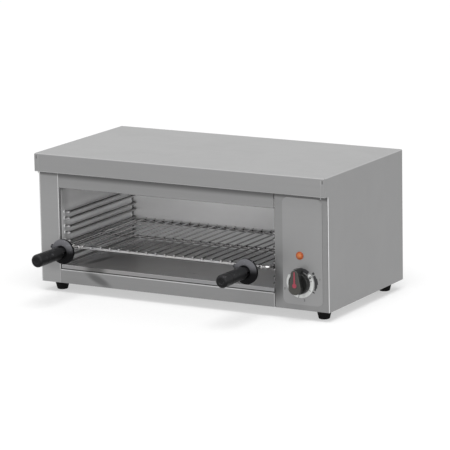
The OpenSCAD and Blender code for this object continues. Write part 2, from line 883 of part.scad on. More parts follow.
module grip_right() {
    color(black) translate([handle_x, grip_y, rack_z]) rotate([90, 0, 0]) grip_shape();
}

module crumb_tray() {
    tray_z = open_floor + seat_gap;
    tray_y = body_y + tray_inset;
    tray_left = cavity_left + tray_side_gap;
    tray_w = cavity_w - 2 * tray_side_gap;
    tray_rear = cavity_y - tray_side_gap;
    lip_left = open_left + lip_gap;
    lip_w = open_w - 2 * lip_gap;
    bead_z = tray_z + tray_h - tray_bead_d / 2;
    side_h = tray_h - 3 / 2 * tray_bead_d;
    color(steel) {
        translate([lip_left, tray_y, tray_z]) cube([lip_w, tray_t, tray_h - tray_bead_d / 2]);
        translate([lip_left, tray_y + tray_t / 2, bead_z]) rod_x(tray_bead_d, lip_w);
        for (x = [lip_left, lip_left + lip_w]) translate([x, tray_y + tray_t / 2, tray_z])
            cylinder(d = lip_end_d, h = bead_z + lip_end_d / 4 - tray_z);
        translate([tray_left, tray_y, tray_z]) cube([tray_w, tray_rear - tray_y, tray_t]);
        for (x = [tray_left, tray_left + tray_w - tray_t]) translate([x, tray_y, tray_z])
            cube([tray_t, tray_rear - tray_y, side_h]);
        translate([tray_left, tray_rear - tray_t, tray_z]) cube([tray_w, tray_t, side_h]);
    }
}

// Places a piece on the axis of the knob, with its +z out of the overlay
module on_knob_axis() {
    translate([control_x, overlay_y, knob_z]) rotate([90, 0, 0]) children();
}

// Places a piece on the axis of the lamp, with its +z out of the overlay
module on_lamp_axis() {
    translate([control_x, overlay_y, lamp_z]) rotate([90, 0, 0]) children();
}

// Outline of the knob grip: a wide round heel and a narrow round tip with straight flanks
module grip_outline(shrink) {
    heel_r = knob_grip_w / 2 - shrink;
    tip_r = knob_tip_r - shrink;
    heel_y = knob_grip_w / 2 - knob_grip_down;
    tip_y = knob_grip_up - knob_tip_r;
    lean = asin((heel_r - tip_r) / (tip_y - heel_y));
    translate([0, heel_y]) circle(heel_r);
    translate([0, tip_y]) circle(tip_r);
    polygon([[heel_r * cos(lean), heel_y + heel_r * sin(lean)],
        [tip_r * cos(lean), tip_y + tip_r * sin(lean)],
        [-tip_r * cos(lean), tip_y + tip_r * sin(lean)],
        [-heel_r * cos(lean), heel_y + heel_r * sin(lean)]]);
}

// D shaped section of the shaft, grown all round by a clearance
module shaft_section(fit) {
    r = shaft_d / 2;
    difference() {
        circle(r + fit);
        translate([-shaft_d, r - shaft_flat + fit]) square([2 * shaft_d, shaft_d]);
    }
}

module knob() {
    skirt_r = knob_skirt_d / 2;
    top = knob_h - knob_gap;
    step_z = top - knob_face_step;
    color(black) on_knob_axis() translate([0, 0, knob_gap]) difference() {
        union() {
            rotate_extrude($fn = 96) polygon(concat([[0, 0], [skirt_r, 0]],
                arc_points([skirt_r - knob_edge_r, knob_skirt_h - knob_edge_r], knob_edge_r, 0, 90, 5),
                [[0, knob_skirt_h]]));
            hull() {
                translate([0, 0, knob_edge_r]) linear_extrude(step_z - knob_edge_r) grip_outline(0);
                translate([0, 0, top - cut]) linear_extrude(cut) grip_outline(knob_face_step);
            }
        }
        difference() {
            translate([0, 0, -cut]) cylinder(r = skirt_r - knob_wall, h = knob_skirt_h - knob_wall + cut);
            translate([0, 0, bush_proud - knob_gap / 2])
                cylinder(d = knob_hub_d, h = knob_skirt_h);
        }
        translate([0, 0, -cut]) linear_extrude(bush_proud + knob_bore_depth) shaft_section(0);
    }
}

module knob_pointer() {
    tip = knob_grip_up - knob_tip_r / 2;
    color("crimson") on_knob_axis() translate([0, 0, knob_h]) {
        cylinder(d = pointer_blob_d, h = pointer_t);
        translate([-pointer_w / 2, 0, 0]) cube([pointer_w, tip, pointer_t]);
        translate([0, tip, 0]) cylinder(d = pointer_w, h = pointer_t);
    }
}

regulator_y = -overlay_t - sheet_t;

module regulator_body() {
    color([0.85, 0.84, 0.80]) on_knob_axis() difference() {
        union() {
            translate([-regulator_w / 2, -regulator_h / 2, regulator_y - regulator_d])
                cube([regulator_w, regulator_h, regulator_d]);
            translate([0, 0, regulator_y - cut]) cylinder(d = bush_d, h = bush_proud - regulator_y + cut);
            for (x = [-1, 1], y = [-1, 0, 1])
                translate([x * regulator_tab_x - regulator_tab_t / 2,
                    y * regulator_tab_y - regulator_tab_w / 2, regulator_y - regulator_d - regulator_tab_len])
                    cube([regulator_tab_t, regulator_tab_w, regulator_tab_len + cut]);
        }
        translate([0, 0, regulator_y - regulator_d / 2])
            cylinder(r = shaft_d / 2 + shaft_fit, h = regulator_d);
    }
}

module regulator_shaft() {
    low = regulator_y - regulator_d / 2 + seat_gap;
    high = knob_gap - cut + bush_proud + knob_bore_depth;
    color(chrome) on_knob_axis() translate([0, 0, bush_proud + shaft_fit]) {
        translate([0, 0, low - bush_proud - shaft_fit]) cylinder(d = shaft_d, h = bush_proud + shaft_fit - low);
        linear_extrude(high - bush_proud - shaft_fit) shaft_section(0);
    }
}

module regulator_nut() {
    color(brass) on_knob_axis() difference() {
        hex_bar(nut_af, nut_t);
        translate([0, 0, -cut]) cylinder(d = bush_d, h = nut_t + 2 * cut);
    }
}

module pilot_lens() {
    color("orange") on_lamp_axis() {
        cylinder(d = lens_d, h = lens_flange_t);
        translate([0, 0, lens_flange_t]) intersection() {
            cylinder(d = lens_d - lens_flange_t, h = lens_dome_h);
            translate([0, 0, lens_dome_h - lens_d / 2 - lens_flange_t / 2])
                sphere(r = lens_d / 2 + lens_flange_t / 2);
        }
    }
}

module pilot_body() {
    color(ceramic) on_lamp_axis() translate([0, 0, -lamp_body_len]) {
        cylinder(d = lamp_body_d, h = lamp_body_len);
        for (s = [-1, 1]) translate([s * lamp_tab_gap / 2 - regulator_tab_t / 2, -regulator_tab_w / 2,
            -regulator_tab_len]) cube([regulator_tab_t, regulator_tab_w, regulator_tab_len + cut]);
    }
}

module pilot_nut() {
    color(chrome) on_lamp_axis() translate([0, 0, -overlay_t - sheet_t - lamp_nut_t]) difference() {
        hex_bar(lamp_nut_af, lamp_nut_t);
        translate([0, 0, -cut]) cylinder(d = lamp_body_d, h = lamp_nut_t + 2 * cut);
    }
}

block_x = right_x - block_inset;
block_y = back_y - block_y_gap;
pole_pitch = block_w / block_pole_count;
pole_places = [for (i = [0 : block_pole_count - 1]) block_x + (i + 1 / 2) * pole_pitch - block_w / 2];

module terminal_block() {
    color(ceramic) translate([block_x - block_w / 2, block_y - block_d / 2, pan_top]) difference() {
        union() {
            cube([block_w, block_d, block_h - block_step]);
            translate([0, block_ledge_share * block_d, 0])
                cube([block_w, (1 - 2 * block_ledge_share) * block_d, block_h]);
        }
        for (x = pole_places) translate([x - block_x + block_w / 2, -cut, (block_h - block_step) / 2])
            rod_y(block_bore_d, block_d + 2 * cut);
    }
}

module terminal_screws() {
    color(brass) for (x = pole_places) translate([x, block_y, pan_top + block_h])
        cylinder(d = block_screw_d, h = block_screw_h);
}

module cable_gland() {
    thread_in = sheet_t + gland_nut_t + gland_thread_spare;
    cap_len = gland_reach - gland_hex_t;
    color(black) translate([gland_x, back_y + sheet_t, gland_z]) rotate([-90, 0, 0]) difference() {
        union() {
            hex_bar(gland_af, gland_hex_t);
            translate([0, 0, gland_hex_t]) rotate_extrude() polygon([[0, 0], [gland_cap_d / 2, 0],
                [gland_cap_d / 2, cap_len / 2], [gland_bore_d / 2 + gland_lip_t, cap_len], [0, cap_len]]);
            translate([0, 0, -thread_in]) cylinder(d = gland_thread_d, h = thread_in + cut);
        }
        translate([0, 0, -thread_in - cut])
            cylinder(d = gland_bore_d, h = thread_in + gland_reach + 2 * cut);
    }
}

module gland_nut() {
    color(black) translate([gland_x, back_y, gland_z]) rotate([90, 0, 0]) difference() {
        hex_bar(gland_nut_af, gland_nut_t);
        translate([0, 0, -cut]) cylinder(d = gland_thread_d, h = gland_nut_t + 2 * cut);
    }
}

module foot(i) {
    floor_r = foot_floor_d / 2;
    color(black) translate([foot_places[i][0], foot_places[i][1], 0]) difference() {
        rotate_extrude($fn = 64) polygon(concat([[0, 0]],
            arc_points([floor_r - foot_edge_r, foot_edge_r], foot_edge_r, -90, -15, 6),
            [[foot_top_d / 2, foot_h - foot_edge_r], [foot_top_d / 2, foot_h], [0, foot_h]]));
        translate([0, 0, -cut]) cylinder(d = foot_recess_d, h = foot_recess + cut);
        cylinder(d = foot_screw_d + 2 * hole_fit, h = foot_h + cut);
    }
}

module foot_front_left() {
    foot(0);
}

module foot_front_right() {
    foot(1);
}

module foot_rear_left() {
    foot(2);
}

module foot_rear_right() {
    foot(3);
}

module foot_screws() {
    color(chrome) for (p = foot_places) translate([p[0], p[1], foot_recess - foot_head_h]) {
        cylinder(d = foot_head_d, h = foot_head_h);
        cylinder(d = foot_screw_d,
            h = foot_head_h + foot_h - foot_recess + sheet_t + foot_nut_t + foot_screw_spare);
    }
}

module foot_nuts() {
    color(chrome) for (p = foot_places) translate([p[0], p[1], pan_top]) difference() {
        hex_bar(foot_nut_af, foot_nut_t);
        translate([0, 0, -cut]) cylinder(d = foot_screw_d, h = foot_nut_t + 2 * cut);
    }
}

outer_casing();
base_pan();
back_panel();
back_panel_screws();
left_column();
top_fascia();
lower_fascia();
control_panel();
control_overlay();
cavity_wall_left();
cavity_wall_right();
cavity_back();
cavity_floor();
roof_reflector();
guide_wires_left();
guide_wires_right();
element_front();
element_middle();
element_rear();
element_ferrules();
element_insulators();
element_hanger_left();
element_hanger_right();
rack_frame();
rack_bars();
handle_wires_left();
handle_wires_right();
guard_left();
guard_right();
grip_left();
grip_right();
crumb_tray();
knob();
knob_pointer();
regulator_body();
regulator_shaft();
regulator_nut();
pilot_lens();
pilot_body();
pilot_nut();
terminal_block();
terminal_screws();
cable_gland();
gland_nut();
foot_front_left();
foot_front_right();
foot_rear_left();
foot_rear_right();
foot_screws();
foot_nuts();
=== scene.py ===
import math

import bpy
from mathutils import Matrix, Vector


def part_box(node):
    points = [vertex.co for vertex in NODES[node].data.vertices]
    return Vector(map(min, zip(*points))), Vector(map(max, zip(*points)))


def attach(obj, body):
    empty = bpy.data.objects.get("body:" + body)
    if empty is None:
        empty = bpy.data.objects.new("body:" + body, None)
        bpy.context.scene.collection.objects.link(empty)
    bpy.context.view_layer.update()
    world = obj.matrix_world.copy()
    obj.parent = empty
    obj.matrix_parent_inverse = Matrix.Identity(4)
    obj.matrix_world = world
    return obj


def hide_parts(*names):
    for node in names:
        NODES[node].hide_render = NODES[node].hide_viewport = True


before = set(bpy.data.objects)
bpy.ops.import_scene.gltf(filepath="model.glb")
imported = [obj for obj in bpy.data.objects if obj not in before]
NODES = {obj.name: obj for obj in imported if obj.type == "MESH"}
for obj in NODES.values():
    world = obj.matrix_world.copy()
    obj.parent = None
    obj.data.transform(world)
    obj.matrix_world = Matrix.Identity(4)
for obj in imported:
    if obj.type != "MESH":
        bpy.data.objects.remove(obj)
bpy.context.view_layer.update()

scene = bpy.context.scene
scene.view_settings.view_transform = "Standard"


# Camera and lights

PHOTO_SIDE = 450
FOCAL_PIXELS = 2993.06
SENSOR_MILLIMETRES = 36
CAMERA_FROM_VISOR = (2.8995, -4.8820, 1.3741)
CAMERA_TURN = (29.7595, 12.0355, -1.0749)


def set_camera():
    """The photograph's own view: yaw, pitch and roll as fitted to the corners of the casing."""
    yaw, pitch, roll = (math.radians(angle) for angle in CAMERA_TURN)
    ahead = Vector((-math.sin(yaw) * math.cos(pitch), math.cos(yaw) * math.cos(pitch), -math.sin(pitch)))
    level = Vector((math.cos(yaw), math.sin(yaw), 0))
    above = level.cross(ahead)
    right = level * math.cos(roll) + above * math.sin(roll)
    up = above * math.cos(roll) - level * math.sin(roll)
    data = bpy.data.cameras.new("photo_camera")
    data.sensor_width = SENSOR_MILLIMETRES
    data.lens = FOCAL_PIXELS / PHOTO_SIDE * SENSOR_MILLIMETRES
    data.clip_start = 0.1
    data.clip_end = 60
    camera = bpy.data.objects.new("photo_camera", data)
    scene.collection.objects.link(camera)
    place = Vector(CAMERA_FROM_VISOR) + Vector((0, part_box("outer_casing")[0].y, 0))
    turn = Matrix((right, up, -ahead)).transposed().to_4x4()
    camera.matrix_world = Matrix.Translation(place) @ turn
    scene.camera = camera


def add_light(name, data, towards):
    """A light that shines from the side that the direction points to."""
    light = bpy.data.objects.new(name, data)
    light.rotation_euler = Vector(towards).to_track_quat("Z", "Y").to_euler()
    scene.collection.objects.link(light)
    return light


def soft_lamp(name, place, aim, width, depth, power):
    data = bpy.data.lights.new(name, "AREA")
    data.shape = "RECTANGLE"
    data.size = width
    data.size_y = depth
    data.energy = power
    add_light(name, data, Vector(place) - Vector(aim)).location = place


def soft_sun(name, towards, strength, spread):
    """An even light from far off, with the spread in degrees that softens its shadows."""
    data = bpy.data.lights.new(name, "SUN")
    data.energy = strength
    data.angle = math.radians(spread)
    add_light(name, data, towards)


# Steps of a node tree

def set_inputs(tree, node, values):
    """Gives a node's inputs, by name or number, a value or the output of another node."""
    for place, value in dict(values).items():
        if isinstance(value, bpy.types.NodeSocket):
            tree.links.new(value, node.inputs[place])
        else:
            node.inputs[place].default_value = value


def add_node(tree, kind, values=(), **settings):
    node = tree.nodes.new("ShaderNode" + kind)
    for setting, value in settings.items():
        setattr(node, setting, value)
    set_inputs(tree, node, values)
    return node


def add_math(tree, operation, *operands):
    return add_node(tree, "Math", enumerate(operands), operation=operation).outputs[0]


def add_vector_math(tree, operation, *operands):
    step = add_node(tree, "VectorMath", enumerate(operands), operation=operation)
    return step.outputs["Value" if operation in ("DOT_PRODUCT", "LENGTH") else "Vector"]


def add_noise(tree, vector, scale, detail, **more):
    values = {"Vector": vector, "Scale": scale, "Detail": detail, **more}
    return add_node(tree, "TexNoise", values).outputs["Fac"]


def add_ramp(tree, share, first, last, *between):
    """A colour that follows a share through its stops, each a position and a colour."""
    step = add_node(tree, "ValToRGB", {"Fac": share})
    stops = step.color_ramp.elements
    for stop, (position, colour) in zip((stops[0], stops[1]), (first, last)):
        stop.position = position
        stop.color = colour
    for position, colour in between:
        stops.new(position).color = colour
    return step.outputs["Color"]


def object_place(tree):
    return tree.nodes.new("ShaderNodeTexCoord").outputs["Object"]


def split(tree, vector):
    """The X, Y and Z of a vector."""
    return add_node(tree, "SeparateXYZ", {0: vector}).outputs


def facing(tree, kind="Normal"):
    """The X, Y and Z of the direction that a face looks in."""
    return split(tree, tree.nodes.new("ShaderNodeNewGeometry").outputs[kind])


def rise(tree, value, start, end, course="LINEAR"):
    """A share that is none where the value is at its start and whole where it is at its end."""
    values = {"Value": value, "From Min": start, "From Max": end}
    return add_node(tree, "MapRange", values, interpolation_type=course).outputs["Result"]


def mix_colours(tree, share, first, second):
    return add_node(tree, "Mix", {"Factor": share, 6: first, 7: second}, data_type="RGBA").outputs[2]


def brighten(tree, colour, share, strength=1.0):
    """A colour made brighter by a share of itself, or darker where the share is below none."""
    values = {"Color": colour, "Value": add_math(tree, "MULTIPLY_ADD", share, strength, 1.0)}
    return add_node(tree, "HueSaturation", values).outputs["Color"]


def bump(tree, height, strength, distance):
    """The normals of a fine relief."""
    values = {"Height": height, "Strength": strength, "Distance": distance}
    return add_node(tree, "Bump", values).outputs["Normal"]


# Own materials by the name asked for: the frame has some of these names already, so Blender may add a number
MATERIALS = {}


def new_material(name):
    material = bpy.data.materials.new(name)
    MATERIALS[name] = material
    material.use_nodes = True
    tree = material.node_tree
    return material, tree, tree.nodes["Principled BSDF"]


# Studio

WHITE = (1, 1, 1, 1)
AIR_LIGHT = 0.5
FLOOR_SIDE = 60
PAPER_COLOUR = (0.55, 0.55, 0.55, 1)
PAPER_LIFT = 0.46


def white_in_view(tree, plain, white):
    """Mixes a plain shader with white where the camera, a gloss or glass looks at it."""
    seen = tree.nodes.new("ShaderNodeLightPath").outputs
    mirrored = add_math(tree, "MAXIMUM", seen["Is Glossy Ray"], seen["Is Transmission Ray"])
    looked_at = add_math(tree, "MAXIMUM", seen["Is Camera Ray"], mirrored)
    return add_node(tree, "MixShader", {0: looked_at, 1: plain.outputs[0], 2: white.outputs[0]}).outputs[0]


def set_studio():
    """Even air, a paper floor that looks white and keeps the shadow, and three soft lights."""
    world = bpy.data.worlds.new("studio_air")
    scene.world = world
    world.use_nodes = True
    tree = world.node_tree
    air = tree.nodes["Background"]
    set_inputs(tree, air, {"Color": WHITE, "Strength": AIR_LIGHT})
    white = add_node(tree, "Background", {"Color": WHITE, "Strength": 1})
    set_inputs(tree, tree.nodes["World Output"], {"Surface": white_in_view(tree, air, white)})

    deselect()
    bpy.ops.mesh.primitive_plane_add(size=FLOOR_SIDE, location=(0, 0, 0))
    floor = named("studio_floor")
    material, tree, paper = new_material("studio_paper")
    set_inputs(tree, paper, {"Base Color": PAPER_COLOUR, "Roughness": 1, "Specular IOR Level": 0})
    glow = add_node(tree, "Emission", {"Strength": PAPER_LIFT})
    lifted = add_node(tree, "AddShader", {0: paper.outputs[0], 1: glow.outputs[0]})
    set_inputs(tree, tree.nodes["Material Output"], {"Surface": white_in_view(tree, paper, lifted)})
    floor.data.materials.append(material)

    soft_sun("overhead_light", towards=(0.2, -0.3, 1), strength=1.75, spread=40)
    soft_lamp("front_softbox", place=(1.7, -3.3, 0.9), aim=(0, 0, 0.15), width=2.2, depth=1.3, power=6)
    soft_lamp("low_softbox", place=(1.9, -3.1, 0.42), aim=(0, 0, 0.12), width=1.8, depth=0.7, power=30)


# Shader groups

SIDEWAYS = 0.7
GRAIN_STRETCH = 9
BROAD_LINES = (2.5, 130, 130)
FINE_SHARE = 0.65


def new_group(name, outputs, **inputs):
    """A node group, whose inputs are colours, directions or values as their defaults are."""
    tree = bpy.data.node_groups.new(name, "ShaderNodeTree")
    for label, value in inputs.items():
        kind = {3: "Vector", 4: "Color"}[len(value)] if isinstance(value, tuple) else "Float"
        socket = tree.interface.new_socket(label.replace("_", " "), in_out="INPUT",
                                           socket_type="NodeSocket" + kind)
        socket.default_value = value
    for label in outputs:
        kind = "Color" if label == "Colour" else "Float"
        tree.interface.new_socket(label, in_out="OUTPUT", socket_type="NodeSocket" + kind)
    return tree, tree.nodes.new("NodeGroupInput").outputs, tree.nodes.new("NodeGroupOutput")


def give_mask(tree, given, made, share):
    """Puts a share out as the mask of a group, scaled by the amount that it is given."""
    set_inputs(tree, made, {"Mask": add_math(tree, "MULTIPLY", share, given["Amount"])})


def make_brushed_grain():
    """Fine drawn lines along the width of the casing, and down it on faces that look sideways."""
    tree, given, made = new_group(
        "brushed_grain", ("Colour", "Roughness", "Height"), Colour=(0.5, 0.5, 0.5, 1), Contrast=0.1,
        Roughness=0.4, Roughness_Spread=0.1, Lines_Per_Metre=900)
    place = object_place(tree)
    x, y, z = split(tree, place)
    turned_place = add_node(tree, "CombineXYZ", {"X": z, "Y": y, "Z": x}).outputs[0]
    sideways = add_math(tree, "ABSOLUTE", facing(tree, "True Normal")["X"])
    sideways = add_math(tree, "GREATER_THAN", sideways, SIDEWAYS)
    along = add_node(tree, "Mix", {"Factor": sideways, 4: place, 5: turned_place},
                     data_type="VECTOR").outputs[1]
    density = given["Lines Per Metre"]
    stretch = add_node(tree, "CombineXYZ", {"X": GRAIN_STRETCH, "Y": density, "Z": density}).outputs[0]
    fine = add_noise(tree, add_vector_math(tree, "MULTIPLY", along, stretch), 1, 3)
    broad = add_noise(tree, add_vector_math(tree, "MULTIPLY", along, BROAD_LINES), 1, 2)
    lines = add_math(tree, "ADD", add_math(tree, "MULTIPLY", fine, FINE_SHARE),
                     add_math(tree, "MULTIPLY", broad, 1 - FINE_SHARE))
    offset = add_math(tree, "SUBTRACT", lines, 0.5)
    rough = add_math(tree, "MULTIPLY_ADD", offset, given["Roughness Spread"], given["Roughness"])
    set_inputs(tree, made, {"Colour": brighten(tree, given["Colour"], offset, given["Contrast"]),
                            "Roughness": rough, "Height": lines})


def make_handling_film():
    """A mask of faint wiped patches and finger marks."""
    tree, given, made = new_group("handling_film", ("Mask",), Patches_Per_Metre=14, Amount=1)
    wiped = add_noise(tree, object_place(tree), given["Patches Per Metre"], 4, Roughness=0.6, Distortion=0.6)
    give_mask(tree, given, made, rise(tree, wiped, 0.42, 0.72))


def make_fold_shine():
    """A mask of the painted highlight on the narrow rounded folds, whose faces look neither along X, Y nor Z.
    """
    tree, given, made = new_group("painted_fold_highlight", ("Mask",), Amount=1)
    width, depth, height = (add_math(tree, "ABSOLUTE", share) for share in facing(tree))
    most = add_math(tree, "MAXIMUM", add_math(tree, "MAXIMUM", width, depth), height)
    give_mask(tree, given, made, rise(tree, most, 0.998, 0.94))


def make_zone_mask():
    """A mask that rises from one place to another along a direction on the piece."""
    tree, given, made = new_group("zone_mask", ("Mask",), Direction=(0, 0, 1), Start=0, End=1, Amount=1)
    reach = add_vector_math(tree, "DOT_PRODUCT", object_place(tree), given["Direction"])
    give_mask(tree, given, made, rise(tree, reach, given["Start"], given["End"], "SMOOTHSTEP"))


def make_smudge():
    """A soft oval mask of painted shade round a place, from two directions that are each divided by their
    reach.
    """
    tree, given, made = new_group("painted_shade_patch", ("Mask",), Centre=(0, 0, 0), Along=(40, 0, 0),
                                  Across=(0, 0, 40), Amount=0.5)
    offset = add_vector_math(tree, "SUBTRACT", object_place(tree), given["Centre"])
    reaches = [add_vector_math(tree, "DOT_PRODUCT", offset, given[label]) for label in ("Along", "Across")]
    squares = add_math(tree, "ADD", *(add_math(tree, "MULTIPLY", reach, reach) for reach in reaches))
    give_mask(tree, given, made, rise(tree, add_math(tree, "SQRT", squares), 1, 0.3, "SMOOTHSTEP"))


def make_settled_dust():
    """Painted light and shade: a tone mixed into the faces that look up, in uneven patches."""
    tree, given, made = new_group(
        "painted_light_by_facing", ("Colour",), Colour=(0.02, 0.02, 0.02, 1), Dust=(0.2, 0.2, 0.21, 1), Amount=0.5,
        Patches_Per_Metre=60, Start=-0.12, End=0.34)
    patch = add_noise(tree, object_place(tree), given["Patches Per Metre"], 3)
    uneven = add_math(tree, "MULTIPLY_ADD", add_math(tree, "SUBTRACT", patch, 0.5), 0.25, facing(tree)["Z"])
    settled = rise(tree, uneven, given["Start"], given["End"], "SMOOTHSTEP")
    share = add_math(tree, "MULTIPLY", settled, given["Amount"])
    set_inputs(tree, made, {"Colour": mix_colours(tree, share, given["Colour"], given["Dust"])})


def make_heat_tint():
    """The straw, purple and blue bloom that hot metal takes, in uneven patches."""
    tree, given, made = new_group("heat_tint", ("Colour",), Colour=(0.3, 0.3, 0.3, 1), Amount=0.5,
                                  Patches_Per_Metre=18)
    straw, purple, blue = (0.42, 0.33, 0.24, 1), (0.34, 0.26, 0.25, 1), (0.22, 0.25, 0.33, 1)
    patch = add_noise(tree, object_place(tree), given["Patches Per Metre"], 3)
    bloom = add_ramp(tree, patch, (0.34, straw), (0.68, blue), (0.5, purple))
    set_inputs(tree, made, {"Colour": mix_colours(tree, given["Amount"], given["Colour"], bloom)})


def make_scuffs():
    """A mask of short light scratches, drawn out by the stretch along each direction."""
    tree, given, made = new_group("short_scuffs", ("Mask",), Stretch=(160, 160, 900), Amount=1)
    scratch = add_noise(tree, add_vector_math(tree, "MULTIPLY", object_place(tree), given["Stretch"]), 1, 2)
    give_mask(tree, given, made, rise(tree, scratch, 0.64, 0.72))


def make_moulded_skin():
    """The faint pebbled surface and the lighter rubbed spots of a moulded plastic or rubber."""
    tree, given, made = new_group(
        "moulded_skin", ("Colour", "Roughness", "Height"), Colour=(0.03, 0.03, 0.03, 1), Rub=0.2,
        Roughness=0.4, Roughness_Spread=0.15, Grains_Per_Metre=1800)
    place = object_place(tree)
    pebbles = add_noise(tree, place, given["Grains Per Metre"], 2)
    rubbed = add_noise(tree, place, 95, 4)
    rub = add_math(tree, "SUBTRACT", rubbed, 0.45)
    rough = add_math(tree, "MULTIPLY_ADD", add_math(tree, "SUBTRACT", rubbed, 0.5),
                     given["Roughness Spread"], given["Roughness"])
    set_inputs(tree, made, {"Colour": brighten(tree, given["Colour"], rub, given["Rub"]),
                            "Roughness": rough, "Height": pebbles})


def make_groups():
    make_brushed_grain()
    make_handling_film()
    make_fold_shine()
    make_zone_mask()
    make_smudge()
    make_settled_dust()
    make_heat_tint()
    make_scuffs()
    make_moulded_skin()


# Materials

# Painted tones mixed into faces that look up: a pale one for lit sheet tops, a dark one for shaded wire tops
PAINTED_TOP_LIGHT = (0.44, 0.44, 0.44, 1)
PAINTED_WIRE_TOP_SHADE = (0.05, 0.05, 0.05, 1)
GRAIN_DEPTH = 0.00012
WIPED_DEPTH = 0.00004
PEBBLE_DEPTH = 0.00008
LENS_PEBBLE_DEPTH = 0.00005


def grey(level):
    return (level, level, level * 1.004, 1)


def place_group(tree, name, **values):
    """A shader group with its inputs by name, spaces written as underscores, and what it puts out."""
    values = {label.replace("_", " "): value for label, value in values.items()}
    return add_node(tree, "Group", values, node_tree=bpy.data.node_groups[name]).outputs


def zone_mask(tree, direction, start, end, amount):
    return place_group(tree, "zone_mask", Direction=direction, Start=start, End=end, Amount=amount)["Mask"]


def fold_mask(tree, shine, full):
    """The painted highlight of the folds. Full is a direction, two places on it, and the share of highlight
    before them.
    """
    fold = place_group(tree, "painted_fold_highlight", Amount=shine)["Mask"]
    if not full:
        return fold
    direction, start, end, rest = full
    where = zone_mask(tree, direction, start, end, 1 - rest)
    return add_math(tree, "MULTIPLY", fold, add_math(tree, "ADD", where, rest))


def sheet_steel(name, colour, roughness=0.42, spread=0.16, contrast=0.14, film=0.05, tint=0.0, lines=900,
                relief=0.12, metal=0.7, shine=0.9, full_shine=None, painted_tone=0.0, zones=(), shade_patches=()):
    """Stainless sheet: drawn grain, wiped patches in the gloss, painted highlights on the folds, painted
    light on faces that look up, a bloom near the heat.

    A zone is painted shade: a direction, the places where it starts and is full, and how much it darkens; a
    darkness below none paints light instead.
    A shade patch is painted shadow: a place, two directions divided by their reach, and how much it darkens."""
    material, tree, shader = new_material(name)
    grain = place_group(tree, "brushed_grain", Colour=colour, Contrast=contrast, Roughness=roughness,
                        Roughness_Spread=spread, Lines_Per_Metre=lines)
    wiped = place_group(tree, "handling_film", Patches_Per_Metre=11, Amount=film)["Mask"]
    # Painted highlight along the rounded folds
    lit = brighten(tree, grain["Colour"], fold_mask(tree, shine, full_shine))
    # Painted light: a paler tone on the faces that look up
    if painted_tone:
        lit = place_group(tree, "painted_light_by_facing", Colour=lit, Dust=PAINTED_TOP_LIGHT, Amount=painted_tone, Patches_Per_Metre=9,
                          Start=0.6, End=0.9)["Colour"]
    if tint:
        lit = place_group(tree, "heat_tint", Colour=lit, Amount=tint, Patches_Per_Metre=7)["Colour"]
    # Painted shade along the zones, and painted light where the darkness is below none
    for direction, start, end, darkness in zones:
        lit = brighten(tree, lit, zone_mask(tree, direction, start, end, -darkness))
    # Painted shadows in soft patches
    for centre, along, across, darkness in shade_patches:
        painted_shade_mask = place_group(tree, "painted_shade_patch", Centre=centre, Along=along, Across=across, Amount=-darkness)
        lit = brighten(tree, lit, painted_shade_mask["Mask"])
    set_inputs(tree, shader, {"Base Color": lit, "Metallic": metal,
                              "Roughness": add_math(tree, "ADD", grain["Roughness"], wiped),
                              "Normal": bump(tree, grain["Height"], relief, GRAIN_DEPTH)})
    return material


def bright_wire(name, colour, roughness, film=0.1, tint=0.0, painted_top_shade=0.0):
    """Plated wire and fasteners: a little film, a bloom where it is hot, and painted shade on the faces that
    look up.
    """
    material, tree, shader = new_material(name)
    wiped = place_group(tree, "handling_film", Patches_Per_Metre=60, Amount=film)["Mask"]
    heat = place_group(tree, "heat_tint", Colour=colour, Amount=tint, Patches_Per_Metre=22)["Colour"]
    shade = brighten(tree, heat, wiped, -0.8)
    # Painted shade: the faces that look up are darkened
    if painted_top_shade:
        shade = place_group(tree, "painted_light_by_facing", Colour=shade, Dust=PAINTED_WIRE_TOP_SHADE, Amount=painted_top_shade, Start=-0.25,
                            End=0.15)["Colour"]
    set_inputs(tree, shader, {"Base Color": shade, "Metallic": 1,
                              "Roughness": add_math(tree, "ADD", wiped, roughness),
                              "Normal": bump(tree, wiped, 0.1, WIPED_DEPTH)})
    return material


def moulding(name, colour, roughness=0.5, spread=0.1, rub=0.3, grains=1800, relief=0.15, sheen=0.5, painted_tone=0.0,
             painted_tone_colour=(0.2, 0.2, 0.21, 1), painted_tone_faces=(-0.12, 0.34), painted_tone_zones=(), scuffs=None):
    """Moulded plastic, phenolic or rubber, with painted light on its upper faces inside zones, and short
    scuffs.

    A zone of painted light is a direction and the places where it starts and is full.
    Scuffs are a stretch and an amount."""
    material, tree, shader = new_material(name)
    skin = place_group(tree, "moulded_skin", Colour=colour, Rub=rub, Roughness=roughness,
                       Roughness_Spread=spread, Grains_Per_Metre=grains)
    shade = skin["Colour"]
    # Painted light on the faces that look up, inside the zones
    if painted_tone:
        amount = painted_tone
        for direction, start, end in painted_tone_zones:
            amount = add_math(tree, "MULTIPLY", zone_mask(tree, direction, start, end, 1.0), amount)
        shade = place_group(tree, "painted_light_by_facing", Colour=shade, Dust=painted_tone_colour, Amount=amount,
                            Start=painted_tone_faces[0], End=painted_tone_faces[1])["Colour"]
    if scuffs:
        stretch, amount = scuffs
        scuffed = place_group(tree, "short_scuffs", Stretch=stretch, Amount=amount)["Mask"]
        shade = brighten(tree, shade, scuffed)
    set_inputs(tree, shader, {"Base Color": shade, "Roughness": skin["Roughness"],
                              "Specular IOR Level": sheen,
                              "Normal": bump(tree, skin["Height"], relief, PEBBLE_DEPTH)})
    return material


